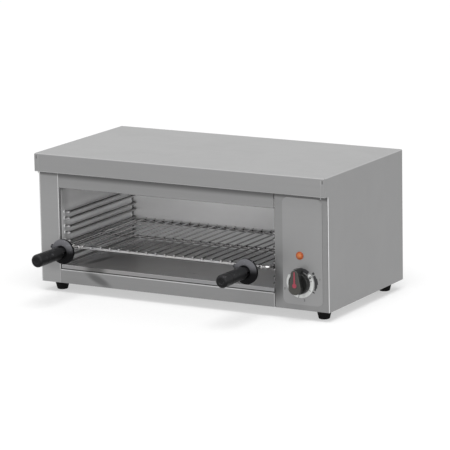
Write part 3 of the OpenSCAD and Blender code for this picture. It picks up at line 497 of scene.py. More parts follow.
def lens_plastic(name, centre, core, rim):
    """Clear amber plastic with painted light: bright at its core and darker to its rim, measured from the
    lamp's axis.
    """
    material, tree, shader = new_material(name)
    reach = add_vector_math(tree, "LENGTH", add_vector_math(tree, "SUBTRACT", object_place(tree), centre))
    shade = add_ramp(tree, add_math(tree, "DIVIDE", reach, LENS_RADIUS), (0.2, core), (0.86, rim))
    skin = place_group(tree, "moulded_skin", Colour=shade, Rub=0.25, Roughness=0.22, Roughness_Spread=0.1,
                       Grains_Per_Metre=900)
    set_inputs(tree, shader, {"Base Color": skin["Colour"], "Roughness": skin["Roughness"],
                              "Specular IOR Level": 0.25, "Coat Weight": 0.15, "Coat Roughness": 0.08,
                              "Normal": bump(tree, skin["Height"], 0.05, LENS_PEBBLE_DEPTH)})
    return material


def finish(material, *node_names):
    """Gives CAD nodes their material."""
    for node_name in node_names:
        data = NODES[node_name].data
        data.materials.clear()
        data.materials.append(material)


# Modelling helpers

# Distances within which points are level, are one point, or lie on the axis
TINY = 1e-6
SMALL = 1e-5
ON_AXIS = 1e-4
# How far the normal of an end face points along local Z
END_FACE = 0.99


def leave_edit():
    bpy.ops.object.mode_set(mode="OBJECT")


def edit_all():
    """Leaves edit mode on, with the whole of the active piece selected."""
    bpy.ops.object.mode_set(mode="EDIT")
    bpy.ops.mesh.select_all(action="SELECT")


def deselect():
    if bpy.context.object and bpy.context.object.mode != "OBJECT":
        leave_edit()
    bpy.ops.object.select_all(action="DESELECT")


def named(name):
    """The piece that was just made, with its name."""
    obj = bpy.context.object
    obj.name = name
    return obj


def take(obj):
    """Leaves only this piece selected, as the active one."""
    deselect()
    obj.select_set(True)
    bpy.context.view_layer.objects.active = obj


def settle(obj):
    """Applies the place and turn of a piece, so that its object is back at the origin."""
    take(obj)
    bpy.ops.object.transform_apply(location=True, rotation=True, scale=True)


def start_cylinder(name, radius, low, high, sides=64):
    """A closed cylinder along local Z, from a low to a high end."""
    deselect()
    bpy.ops.mesh.primitive_cylinder_add(vertices=sides, radius=radius, depth=high - low,
                                        location=(0, 0, (low + high) / 2))
    obj = named(name)
    settle(obj)
    return obj


def select_parts(kind, parts, test):
    """Leaves edit mode on, with only the faces or points selected that pass the test."""
    bpy.ops.object.mode_set(mode="EDIT")
    bpy.ops.mesh.select_mode(type=kind)
    bpy.ops.mesh.select_all(action="DESELECT")
    leave_edit()
    for part in parts:
        part.select = test(part)
    bpy.ops.object.mode_set(mode="EDIT")


def select_faces(obj, test):
    select_parts("FACE", obj.data.polygons, lambda face: test(face.center, face.normal))


def select_points(obj, test):
    select_parts("VERT", obj.data.vertices, lambda point: test(point.co))


def cut_away(obj, test):
    """Deletes the points that pass the test, and the faces that end there."""
    select_points(obj, test)
    bpy.ops.mesh.delete(type="VERT")
    leave_edit()


def looks_up(centre, normal):
    return normal.z > END_FACE


def looks_down(centre, normal):
    return normal.z < -END_FACE


def move(x, y, z):
    bpy.ops.transform.translate(value=(x, y, z))


def widen(share, centre):
    """Scales what is selected across local Z, from a centre."""
    bpy.ops.transform.resize(value=(share, share, 1), center_override=centre)


def inset(thickness, rise_by=0.0):
    bpy.ops.mesh.inset(thickness=thickness, depth=0)
    if rise_by:
        move(0, 0, rise_by)


def extrude(distance):
    bpy.ops.mesh.extrude_region_move(TRANSFORM_OT_translate={"value": (0, 0, distance)})


def follow(rings, height, radius):
    """Extrudes the selected end face through rings of (height, radius)."""
    for next_height, next_radius in rings:
        extrude(next_height - height)
        widen(next_radius / radius, (0, 0, next_height))
        height, radius = next_height, next_radius


def turned(name, rings, back=(), sides=64):
    """A turned shape along local Z: rings upwards from the first, and from there down those of its back."""
    (low, first), (high, second) = rings[:2]
    obj = start_cylinder(name, first, low, high, sides)
    select_faces(obj, looks_up)
    widen(second / first, (0, 0, high))
    follow(rings[2:], high, second)
    if back:
        select_faces(obj, lambda c, n: looks_down(c, n) and abs(c.z - low) < TINY
                     and c.xy.length < ON_AXIS)
        follow(back, low, first)
    return obj


def round_top(obj, height, width, segments):
    """Bevels the edges that lie at a height or above it."""
    select_points(obj, lambda p: p.z > height - TINY)
    bpy.ops.mesh.select_mode(type="EDGE")
    bpy.ops.mesh.bevel(offset=width, segments=segments, affect="EDGES")


def smooth(obj, angle=30):
    take(obj)
    bpy.ops.object.shade_smooth_by_angle(angle=math.radians(angle))


def small_block(name, size, place, rounding, turn=0.0):
    """A block with rounded edges, set at its place in the shape that it joins."""
    deselect()
    bpy.ops.mesh.primitive_cube_add(size=1, location=place, rotation=(0, 0, turn), scale=size)
    obj = named(name)
    settle(obj)
    edit_all()
    bpy.ops.mesh.bevel(offset=rounding, segments=2, affect="EDGES")
    leave_edit()
    return obj


def join(name, parts):
    deselect()
    for part in parts:
        part.select_set(True)
    bpy.context.view_layer.objects.active = parts[0]
    bpy.ops.object.join()
    return named(name)


def repeat(name, first, places):
    """Copies a finished shape, each copy with its own mesh, to every place, and joins the copies."""
    copies = []
    for place in places:
        copy = first.copy()
        copy.data = first.data.copy()
        scene.collection.objects.link(copy)
        copy.location = place
        copies.append(copy)
    bpy.data.objects.remove(first)
    obj = join(name, copies)
    settle(obj)
    return obj


def stand(obj, place, towards="front"):
    """Puts a piece that was shaped along local Z at its place, with local Z along one of the axes."""
    quarter = math.pi / 2
    turns = {"front": (quarter, 0, 0), "back": (-quarter, 0, 0), "right": (0, quarter, 0),
             "left": (0, -quarter, 0)}
    obj.location = place
    obj.rotation_euler = turns[towards]
    settle(obj)


def dress(obj, material, slot, body, *replaced):
    """Gives a piece its material by name, the body that it rides on and the nodes it replaces; the slot is
    not used.
    """
    obj.data.materials.clear()
    obj.data.materials.append(MATERIALS[material])
    obj.data.name = obj.name
    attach(obj, body)
    if replaced:
        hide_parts(*replaced)


def middle(node_name):
    """Centre of a CAD node across the width and in height."""
    low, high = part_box(node_name)
    return (low.x + high.x) / 2, (low.z + high.z) / 2


# Pieces of the control panel

KNOB_LOW, KNOB_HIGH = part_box("knob")
LENS_LOW, LENS_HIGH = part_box("pilot_lens")
PANEL_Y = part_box("control_overlay")[0].y
CONTROL_X, LENS_Z = middle("pilot_lens")
LENS_RADIUS = (LENS_HIGH.x - LENS_LOW.x) / 2
LENS_PLACE = (CONTROL_X, PANEL_Y, LENS_Z)
SKIRT_RADIUS = (KNOB_HIGH.x - KNOB_LOW.x) / 2
SKIRT_HEIGHT = 0.009
KNOB_PLACE = (CONTROL_X, PANEL_Y, KNOB_LOW.z + SKIRT_RADIUS)
KNOB_BACK = PANEL_Y - KNOB_HIGH.y
KNOB_FRONT = PANEL_Y - KNOB_LOW.y
BAND_INNER, BAND_OUTER = 0.0218, 0.0293
BAND_START, BAND_END = 53, 296
# Each bar's inner and outer radius, and the clock angles in degrees where it starts and ends
DIAL_BARS = ((0.0276, 0.0288, -30, 2), (0.0232, 0.0299, 1.9, 20), (0.0232, 0.0306, 19.9, 40),
             (0.0330, 0.0376, 50, 57), (0.0316, 0.0370, 61, 72), (0.0314, 0.0384, 71.9, 90),
             (0.0314, 0.0368, 89.9, 102), (0.0318, 0.0352, 101.9, 111), (0.0300, 0.0352, 117, 121))
# Each number with its radius, clock angle and height
DIAL_NUMBERS = ((1, 0.0440, 76, 0.0050), (2, 0.0342, 165, 0.0056), (3, 0.0362, 247.5, 0.0056))
# Each tick's clock angle and the radius that it reaches
DIAL_TICKS = ((78, 0.0262), (123, 0.0262), (187, 0.0292), (247.5, 0.0262))
TICK_SPREAD = 1.2
# Prints that overlap differ in thickness, so that no two of their faces lie in one plane
BAND_LAYER, BAR_LAYER, NUMBER_LAYER = 0.0001, 0.00012, 0.00016


def knob_piece():
    """The rotary knob: a skirt with a rounded rim, a tapered grip and a hollow back."""
    rounding = 0.0015
    skirt_top = KNOB_BACK + SKIRT_HEIGHT
    skirt = start_cylinder("control_knob_moulding", SKIRT_RADIUS, KNOB_BACK, skirt_top, 96)
    round_top(skirt, skirt_top, rounding, 4)
    rim_land, rim_step, rim_drop = 0.0022, 0.0006, 0.0005
    select_faces(skirt, looks_up)
    inset(rim_land)
    inset(rim_step, -rim_drop)
    wall, hollow, hub_gap, hub = 0.0024, 0.0056, 0.0105, 0.002
    select_faces(skirt, looks_down)
    inset(wall)
    extrude(hollow)
    inset(hub_gap)
    extrude(-hub)
    smooth(skirt)

    heel, tip = 0.0135, 0.008
    heel_y, tip_y = -0.0055, 0.021
    sunk = 0.003
    grip = start_cylinder("control_knob_grip", heel, KNOB_BACK + sunk, KNOB_FRONT, 72)
    edit_all()
    move(0, heel_y, 0)
    select_points(grip, lambda p: p.y > heel_y + SMALL)
    move(0, tip_y - heel_y, 0)
    widen(tip / heel, (0, tip_y, 0))
    round_top(grip, KNOB_FRONT, rounding, 4)
    face_land, face_step, face_drop = 0.0012, 0.0005, 0.0003
    select_faces(grip, looks_up)
    inset(face_land)
    inset(face_step, -face_drop)
    smooth(grip)
    knob = join("control_knob_moulding", [skirt, grip])
    stand(knob, KNOB_PLACE)
    dress(knob, "satin_knob_plastic", "black_knob", "control_knob", "knob")


def pointer_piece():
    """The red print on the knob's face, a bar that widens to its round foot, and the skirt's pale index."""
    foot_radius, foot_y, sunk = 0.0045, -0.0008, 0.0005
    rings = [(KNOB_FRONT - sunk, foot_radius), (KNOB_FRONT + 0.0002, foot_radius),
             (KNOB_FRONT + 0.0004, foot_radius - 0.0003)]
    foot = turned("knob_pointer_print", rings, sides=40)
    edit_all()
    move(0, foot_y, 0)
    leave_edit()
    width, length, thickness = 0.0042, 0.0262, 0.0009
    tip_share = 0.52
    bar_y, lowered = 0.0130, 0.00016
    bar = small_block("pointer_bar", (width, length, thickness), (0, bar_y, KNOB_FRONT - lowered), 0.0003)
    select_points(bar, lambda p: p.y > bar_y)
    bpy.ops.transform.resize(value=(tip_share, 1, 1))
    leave_edit()
    pointer = join("knob_pointer_print", [foot, bar])
    smooth(pointer)
    stand(pointer, KNOB_PLACE)
    dress(pointer, "red_pointer_print", "red_pointer", "control_knob", "knob_pointer")

    index_size, index_place = (0.0011, 0.0042, 0.0004), (0.0020, -0.0172, KNOB_BACK + SKIRT_HEIGHT)
    index = small_block("skirt_index_print", index_size, index_place, 0.0001)
    smooth(index)
    stand(index, KNOB_PLACE)
    dress(index, "white_dial_print", "overlay_plate", "control_knob")


def lens_piece():
    """The lamp's lens: a flange, then a dome cut in steps round a flat centre."""
    flange, flange_land = 0.002, 0.0009
    groove_wall, groove_drop, dome_foot = 0.0003, 0.0004, 0.0014
    lens = start_cylinder("pilot_lens_moulding", LENS_RADIUS, 0, flange)
    round_top(lens, flange, 0.0006, 3)
    select_faces(lens, looks_up)
    inset(flange_land)
    inset(groove_wall, -groove_drop)
    inset(groove_wall, dome_foot)
    steps, step_width = 6, 0.00075
    dome = PANEL_Y - LENS_LOW.y - flange - dome_foot + groove_drop
    for step in range(steps):
        low, high = (math.sin(count / steps * math.pi / 2) for count in (step, step + 1))
        inset(step_width, dome * (high - low))
    smooth(lens, 25)
    stand(lens, LENS_PLACE)
    dress(lens, "amber_lens_plastic", "orange_lens", "cabinet", "pilot_lens")


def arc_strip(name, inner, outer, start, end, steps, rounded=False):
    """A flat strip round the knob between two clock angles in degrees, whose ends can be half discs."""
    deselect()
    width, centre_line = outer - inner, (inner + outer) / 2
    bpy.ops.mesh.primitive_plane_add(size=width, location=(centre_line, width / 2, 0))
    strip = named(name)
    settle(strip)
    cut_away(strip, lambda p: p.y > width / 2)
    strip.rotation_euler.z = math.radians(90 - start)
    settle(strip)
    edit_all()
    bpy.ops.mesh.spin(steps=steps, angle=math.radians(end - start), center=(0, 0, 0), axis=(0, 0, 1))
    leave_edit()
    parts = [strip]
    for clock, away in ((start, 1), (end, -1)) if rounded else ():
        turn = math.radians(90 - clock)
        deselect()
        bpy.ops.mesh.primitive_circle_add(vertices=24, radius=width / 2, fill_type="TRIFAN")
        cap = named("strip_end")
        cut_away(cap, lambda p: p.y * away < -SMALL)
        cap.location = (centre_line * math.cos(turn), centre_line * math.sin(turn), 0)
        cap.rotation_euler.z = turn
        settle(cap)
        parts.append(cap)
    return parts


def dial_number(number, radius, clock, height, weight=0.00022, lean=0):
    """One plain number with its middle at a clock angle round the knob, leaning clockwise by degrees."""
    deselect()
    bpy.ops.object.text_add()
    text = bpy.context.object
    text.data.body = str(number)
    text.data.size = height
    text.data.offset = weight
    text.data.align_x = "CENTER"
    text.data.align_y = "CENTER"
    bpy.ops.object.convert(target="MESH")
    turn = math.radians(90 - clock)
    text.location = (radius * math.cos(turn), radius * math.sin(turn), 0)
    text.rotation_euler = (0, 0, math.radians(-lean))
    settle(text)
    return text


def print_piece(name, parts, thickness, material, slot):
    """Joins flat prints, turns their faces up, and gives them their thickness above the overlay."""
    piece = join(name, parts)
    take(piece)
    edit_all()
    bpy.ops.mesh.remove_doubles(threshold=SMALL)
    bpy.ops.mesh.normals_make_consistent(inside=False)
    leave_edit()
    select_faces(piece, lambda c, n: n.z < 0)
    bpy.ops.mesh.flip_normals()
    leave_edit()
    wall = piece.modifiers.new("print_thickness", "SOLIDIFY")
    wall.thickness = thickness
    wall.offset = 1
    bpy.ops.object.modifier_apply(modifier=wall.name)
    stand(piece, KNOB_PLACE)
    dress(piece, material, slot, "cabinet")


def dial_prints():
    """The pale band, dark bars that thin out clockwise, ticks across the band and plain numbers round it."""
    band = arc_strip("dial_band_print", BAND_INNER, BAND_OUTER, BAND_START, BAND_END, 96, rounded=True)
    print_piece("dial_band_print", band, BAND_LAYER, "white_dial_print", "overlay_plate")

    parts = []
    for inner, outer, start, end in DIAL_BARS:
        parts += arc_strip("dial_bar", inner, outer, start, end, 24)
    parts.append(dial_number(0, 0.0247, 61, 0.0080, weight=0.00045, lean=40))
    print_piece("dial_heat_print", parts, BAR_LAYER, "black_dial_print", "black_knob")

    parts = [dial_number(*row) for row in DIAL_NUMBERS]
    for clock, reach in DIAL_TICKS:
        parts += arc_strip("dial_tick", BAND_INNER, reach, clock - TICK_SPREAD, clock + TICK_SPREAD, 4)
    print_piece("dial_number_print", parts, NUMBER_LAYER, "grey_dial_print", "overlay_plate")


# Pieces of the handles

def guard_piece(side):
    """The heat guard: a domed disc with a groove round the grip's neck, a hub, a lug and a hollow back."""
    low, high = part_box("guard_" + side)
    x, z = middle("handle_wires_" + side)
    rim = high.x - x
    top = high.y - low.y
    rings = [(0.0006, rim - 0.0005), (0.0016, rim), (0.0062, rim), (0.0074, rim - 0.0004),
             (0.0083, rim - 0.0014), (0.0089, rim - 0.0028), (0.0102, 0.0195), (0.0109, 0.0165),
             (0.0112, 0.0137), (0.0110, 0.0129), (0.0104, 0.0125), (0.0060, 0.0123), (0.0060, 0.0084),
             (top - 0.0006, 0.0082), (top, 0.0078)]
    back = [(0.0, rim - 0.0016), (0.0, rim - 0.0036), (0.0034, rim - 0.0042), (0.0034, 0.0134),
            (0.0004, 0.0126), (0.0, 0.0120)]
    disc = turned("guard_moulding_" + side, rings, back, 96)
    lug_turn, lug_reach, lug_height = math.radians(160), rim + 0.0010, 0.0042
    lug_place = (lug_reach * math.cos(lug_turn), lug_reach * math.sin(lug_turn), lug_height)
    lug = small_block("guard_lug", (0.0056, 0.0068, 0.0048), lug_place, 0.0009, lug_turn)
    guard = join("guard_moulding_" + side, [disc, lug])
    smooth(guard)
    stand(guard, (x, high.y, z))
    dress(guard, "matt_guard_phenolic", "black_phenolic", "rack", "guard_" + side)


def grip_piece(side):
    """The grip: a bar with a neck at the guard, a groove, and a rounded end that is dished in its middle."""
    low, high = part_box("grip_" + side)
    x, z = middle("handle_wires_" + side)
    length = high.y - low.y
    end, foot, neck = (high.x - low.x) / 2, 0.0124, 0.0090
    rounding, steps = 0.0052, 8
    shoulder = length - rounding
    groove = length - 0.025
    at_groove = foot + (end - foot) * groove / shoulder
    in_groove = at_groove - 0.0004
    rings = [(-0.0066, neck), (0.0034, neck), (0.0046, 0.0094), (0.0062, 0.0108), (0.0076, 0.0118),
             (0.0096, foot), (groove - 0.0011, at_groove), (groove - 0.0007, in_groove),
             (groove + 0.0005, in_groove), (groove + 0.0009, at_groove + 0.0001), (shoulder, end)]
    for step in range(1, steps):
        angle = step / steps * math.pi / 2
        rings.append((shoulder + rounding * math.sin(angle), end - rounding * (1 - math.cos(angle))))
    rings += [(length, end - 0.0064), (length - 0.0001, 0.0052), (length - 0.0006, 0.0046),
              (length - 0.0007, 0.0006)]
    grip = turned("grip_moulding_" + side, rings, sides=96)
    smooth(grip)
    stand(grip, (x, high.y, z))
    dress(grip, "satin_grip_phenolic", "black_phenolic", "rack", "grip_" + side)


# Welds of the rack and the guides

RACK_LOW, RACK_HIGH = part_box("rack_frame")
BARS_LOW, BARS_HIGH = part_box("rack_bars")
RAIL = RACK_HIGH.z - RACK_LOW.z
BAR = BARS_HIGH.z - BARS_LOW.z
BAR_COUNT = 21
GUIDE_WIRE = 0.005
GUIDE_GAP = 0.0127
GUIDE_LEVELS = 4


def bead(name, length, width, height):
    """A drop of weld: a block drawn to a rounded lump of a few dozen faces."""
    deselect()
    bpy.ops.mesh.primitive_cube_add(size=1)
    obj = named(name)
    edit_all()
    bpy.ops.mesh.subdivide(number_cuts=2, smoothness=0)
    bpy.ops.transform.tosphere(value=0.85)
    bpy.ops.transform.vertex_random(offset=0.04, seed=5)
    bpy.ops.transform.resize(value=(length, width, height))
    leave_edit()
    smooth(obj, 60)
    return obj


def rack_welds():
    """A bead where each bar lies on a rail, and a larger one where a handle wire meets the front rail."""
    first_x, last_x = BARS_LOW.x + BAR / 2, BARS_HIGH.x - BAR / 2
    rails = [RACK_LOW.y + RAIL / 2, (RACK_LOW.y + RACK_HIGH.y) / 2, RACK_HIGH.y - RAIL / 2]
    places = [(first_x + (last_x - first_x) * step / (BAR_COUNT - 1), y, BARS_LOW.z)
              for step in range(BAR_COUNT) for y in rails]
    bars = repeat("bar_weld_beads", bead("bar_weld", 0.0044, 0.0030, 0.0013), places)
    rings = [(0.0, 0.0027), (0.0006, 0.0038), (0.0018, 0.0040), (0.0030, 0.0034), (0.0038, 0.0027)]
    collar = turned("handle_weld", rings, sides=20)
    bpy.ops.mesh.select_all(action="SELECT")
    bpy.ops.transform.vertex_random(offset=0.0002, seed=3)
    smooth(collar, 60)
    stand(collar, (0, 0, 0))
    behind_rail = 0.0012
    places = []
    for side in ("left", "right"):
        low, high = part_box("handle_wires_" + side)
        wire = (high.z - low.z) / 2
        places += [(x, RACK_LOW.y + behind_rail, (low.z + high.z) / 2) for x in (low.x + wire, high.x - wire)]
    handles = repeat("handle_weld_beads", collar, places)
    welds = join("rack_weld_beads", [bars, handles])
    dress(welds, "bright_weld_metal", "chrome_wire", "rack")


def guide_welds(side, towards):
    """A flattened collar of weld where each guide wire enters the cavity wall."""
    low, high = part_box("guide_wires_" + side)
    level_step = (high.z - low.z - GUIDE_WIRE - GUIDE_GAP) / (GUIDE_LEVELS - 1)
    wall_x = low.x if side == "left" else high.x
    rings = [(0.0, 0.0044), (0.0004, 0.0042), (0.0011, 0.0034), (0.0014, 0.0026)]
    collar = turned("guide_weld", rings, sides=20)
    smooth(collar, 60)
    stand(collar, (0, 0, 0), towards)
    places = [(wall_x, y, low.z + GUIDE_WIRE / 2 + level * level_step + rise_by)
              for level in range(GUIDE_LEVELS) for rise_by in (0, GUIDE_GAP)
              for y in (low.y + GUIDE_WIRE / 2, high.y - GUIDE_WIRE / 2)]
    welds = repeat("guide_weld_collars_" + side, collar, places)
    dress(welds, "side_lining_sheet", "chrome_wire", "cabinet")


# Pieces of the casing and the back

CASING_LOW, CASING_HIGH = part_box("outer_casing")
BACK_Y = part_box("back_panel")[1].y
SCREWS_LOW, SCREWS_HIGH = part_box("back_panel_screws")
SCREW_RADIUS = 0.0035
GLAND_LOW, GLAND_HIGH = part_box("cable_gland")
VISOR_Z = CASING_HIGH.z - 0.0375


def visor_seams():
    """The closed joints of the folded visor near its ends, and a dark block of painted shade in the notch
    where each meets the top.
    """
    seam_inset, notch_inset, notch_drop = 0.0085, 0.0048, 0.0078
    bottom, top = VISOR_Z - 0.003, CASING_HIGH.z - 0.004
    seams, notches = [], []
    for side in (-1, 1):
        seam_place = (side * (CASING_HIGH.x - seam_inset), CASING_LOW.y, (bottom + top) / 2)
        notch_place = (side * (CASING_HIGH.x - notch_inset), CASING_LOW.y, CASING_HIGH.z - notch_drop)
        seams.append(small_block("visor_seam", (0.0016, 0.0003, top - bottom), seam_place, 0.00012))
        notches.append(small_block("visor_notch", (0.0022, 0.0004, 0.0062), notch_place, 0.00015))
    # The notches get a dark material: painted shade in the corner relief
    for name, parts, material in (("visor_seam_joints", seams, "plain_rolled_sheet"),
                                  ("visor_end_notches", notches, "painted_notch_shade")):
        piece = join(name, parts)
        smooth(piece)
        dress(piece, material, "brushed_casing", "cabinet")


def back_screws():
    """Pan-head screws with a cross recess, modelled once and copied."""
    head = SCREWS_HIGH.y - BACK_Y
    shank, shank_radius, point = BACK_Y - SCREWS_LOW.y, 0.0017, 0.0012
    recess = (0.0036, 0.0007, 0.0022)
    rings = [(0.0, 0.0034), (0.0003, SCREW_RADIUS), (0.0010, 0.0034), (0.0016, 0.0028), (head, 0.0018),
             (head, 0.0004)]
    back = [(0.0, shank_radius), (0.0004 - shank, shank_radius), (-shank, point)]
    screw = turned("back_panel_screw", rings, back, 24)
    leave_edit()
    bars = [small_block("recess_bar", recess, (0, 0, head), 0.0001, turn) for turn in (0, math.pi / 2)]
    for bar in bars:
        take(screw)
        cut = screw.modifiers.new("cross_recess", "BOOLEAN")
        cut.operation = "DIFFERENCE"
        cut.object = bar
        cut.solver = "EXACT"
        bpy.ops.object.modifier_apply(modifier=cut.name)
        bpy.data.objects.remove(bar)
    smooth(screw)
    stand(screw, (0, 0, 0), "back")
    left, right = SCREWS_LOW.x + SCREW_RADIUS, SCREWS_HIGH.x - SCREW_RADIUS
    low, high = SCREWS_LOW.z + SCREW_RADIUS, SCREWS_HIGH.z - SCREW_RADIUS
    places = [(x, BACK_Y, z) for x in (left, right) for z in (low, (low + high) / 2, high)]
    places += [(x, BACK_Y, high) for x in (left / 3, right / 3)]
    screws = repeat("back_panel_cross_screws", screw, places)
    dress(screws, "zinc_plated_steel", "zinc_fastener", "cabinet", "back_panel_screws")


def gland_piece():
    """The cable gland: a hexagon with broken corners, a ribbed cap and the seal in its bore."""
    x, z = middle("cable_gland")
    reach, inside = GLAND_HIGH.y - BACK_Y, BACK_Y - GLAND_LOW.y
    corner, hexagon_height = (GLAND_HIGH.x - GLAND_LOW.x) / 2, 0.005
    thread, bore = 0.0080, 0.0042
    hexagon = turned("gland_hexagon", [(0.0, corner), (hexagon_height, corner)],
                     [(0.0, thread), (-inside, thread), (-inside, bore)], 6)
    hexagon.rotation_euler.z = math.pi / 6
    settle(hexagon)
    round_top(hexagon, hexagon_height, 0.0005, 2)
    cap_radius, cap_top, rib_degrees, rib_height = 0.0086, 0.0104, 7.5, 0.0004
    rings = [(0.0048, cap_radius), (cap_top, cap_radius), (0.0118, 0.0083), (0.0140, 0.0072),
             (reach - 0.0004, 0.0056), (reach, 0.0051), (reach, 0.0044), (reach - 0.0006, 0.0041),
             (reach - 0.0030, 0.0040), (reach - 0.0034, 0.0033), (reach - 0.0120, 0.0032)]
    cap = turned("gland_cap", rings, sides=48)
    select_faces(cap, lambda c, n: abs(n.z) < 0.1 and c.xy.length > thread and c.z < cap_top
                 and int(math.degrees(math.atan2(c.y, c.x)) // rib_degrees) % 2 == 0)
    bpy.ops.mesh.extrude_region_shrink_fatten(TRANSFORM_OT_shrink_fatten={"value": rib_height})
    leave_edit()
    gland = join("ribbed_cable_gland", [hexagon, cap])
    smooth(gland, 25)
    stand(gland, (x, BACK_Y, z), "back")
    dress(gland, "black_nylon", "black_nylon", "cabinet", "cable_gland")


def build_pieces():
    knob_piece()
    pointer_piece()
    lens_piece()
    dial_prints()
    for side, towards in (("left", "right"), ("right", "left")):
        guard_piece(side)
        grip_piece(side)
        guide_welds(side, towards)
    rack_welds()
    visor_seams()
    back_screws()
    gland_piece()


# Places that painted fold highlights, painted shade and painted light keep to: a direction, where it starts
# and is full, and its share

BODY_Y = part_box("left_column")[0].y
FASCIA_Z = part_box("lower_fascia")[1].z
LINING_LOW, LINING_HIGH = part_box("cavity_wall_left")
LIP_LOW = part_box("crumb_tray")[0]
HANDLE_Z = middle("handle_wires_left")[1]
GUARD_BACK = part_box("guard_left")[1].y
UP, FORWARD, BACKWARD = (0, 0, 1), (0, -1, 0), (0, 1, 0)
# Painted shadow under the visor, on the column, panel and top fascia
PAINTED_VISOR_SHADOW = (UP, VISOR_Z - 0.0110, VISOR_Z - 0.0050, 0.56)
PAINTED_VISOR_SHADOW_DEEP = (UP, VISOR_Z - 0.0165, VISOR_Z - 0.0050, 0.58)
# Where the painted highlight of the folds is full, and the share of it beyond: below the visor, above the
# fascia, left of the panel
BELOW_VISOR = ((0, 0, -1), 0.0020 - VISOR_Z, 0.0055 - VISOR_Z, 0.45)
ABOVE_FASCIA = (UP, FASCIA_Z - 0.001, FASCIA_Z + 0.010, 0.2)
LEFT_OF_PANEL = ((-1, 0, 0), -0.2050, -0.2030, 0.15)
# Painted shade on the cavity's side walls: a dark line in the back corner, darker near the front and towards
# the top
PAINTED_CORNER_SHADOW = (BACKWARD, LINING_HIGH.y - 0.0088, LINING_HIGH.y - 0.0068, 0.85)
PAINTED_FRONT_LINING_SHADE = (FORWARD, -LINING_LOW.y - 0.0357, -LINING_LOW.y - 0.0057, 0.34)
PAINTED_UPPER_LINING_SHADE = (UP, LINING_HIGH.z - 0.096, LINING_HIGH.z - 0.066, 0.30)
# Painted light: the tray's floor behind the lip is painted lighter than the lip
PAINTED_LIGHT_BEHIND_LIP = (BACKWARD, LIP_LOW.y + 0.0017, LIP_LOW.y + 0.0032, -0.7)
# Painted shadow along the foot of the tray's lip, in the gap above the fascia
LIP_SLOPE = Vector((0, -0.8, -0.6))
PAINTED_LIP_GAP_SHADOW = (tuple(LIP_SLOPE), LIP_SLOPE.dot(LIP_LOW + 0.0026 * Vector(UP)),
            LIP_SLOPE.dot(LIP_LOW + 0.0016 * Vector(UP)), 0.95)
# Zones of painted light: the upper front of the guards, and the knob's face
GUARD_UPPER = (UP, HANDLE_Z - 0.004, HANDLE_Z + 0.015)
GUARD_FRONT = (FORWARD, 0.0056 - GUARD_BACK, 0.0070 - GUARD_BACK)
KNOB_FACE = (FORWARD, -KNOB_LOW.y - 0.0013, -KNOB_LOW.y - 0.0006)

# Soft patches of painted shadow and shade: a place, two directions divided by their reach, and how dark the
# patch is

PAINTED_GUARD_SHADOW_ON_PANEL = ((0.205, BODY_Y, 0.069), (1 / 0.036, 0, 0), (0, 0, 1 / 0.050), 0.64)
PAINTED_HANDLE_SHADOW_ON_COLUMN = ((-0.296, BODY_Y, 0.066), (1 / 0.042, 0, 0), (0, 0, 1 / 0.030), 0.20)
PAINTED_HANDLE_SHADOW_ON_FASCIA = ((-0.192, BODY_Y, 0.034), (22, 0, -9.1), (34, 0, 82), 0.48)
PAINTED_HANDLE_SHADOW_ON_LIP = ((-0.199, LIP_LOW.y, 0.053), (1 / 0.034, 0, 0), (0, 1 / 0.003, 0), 0.60)
PAINTED_HANDLE_SHADOW_ON_TRAY = ((-0.2495, -0.002, 0.049), (2.5, 15.9, 0), (76, -12, 0), 0.65)
# Painted shade in the side walls' top front corner, under the top fascia
PAINTED_LINING_CORNER_SHADE = ((LINING_HIGH.x, -0.084, 0.2125), (0, 1 / 0.042, 0), (0, 0, 1 / 0.0085), 0.45)


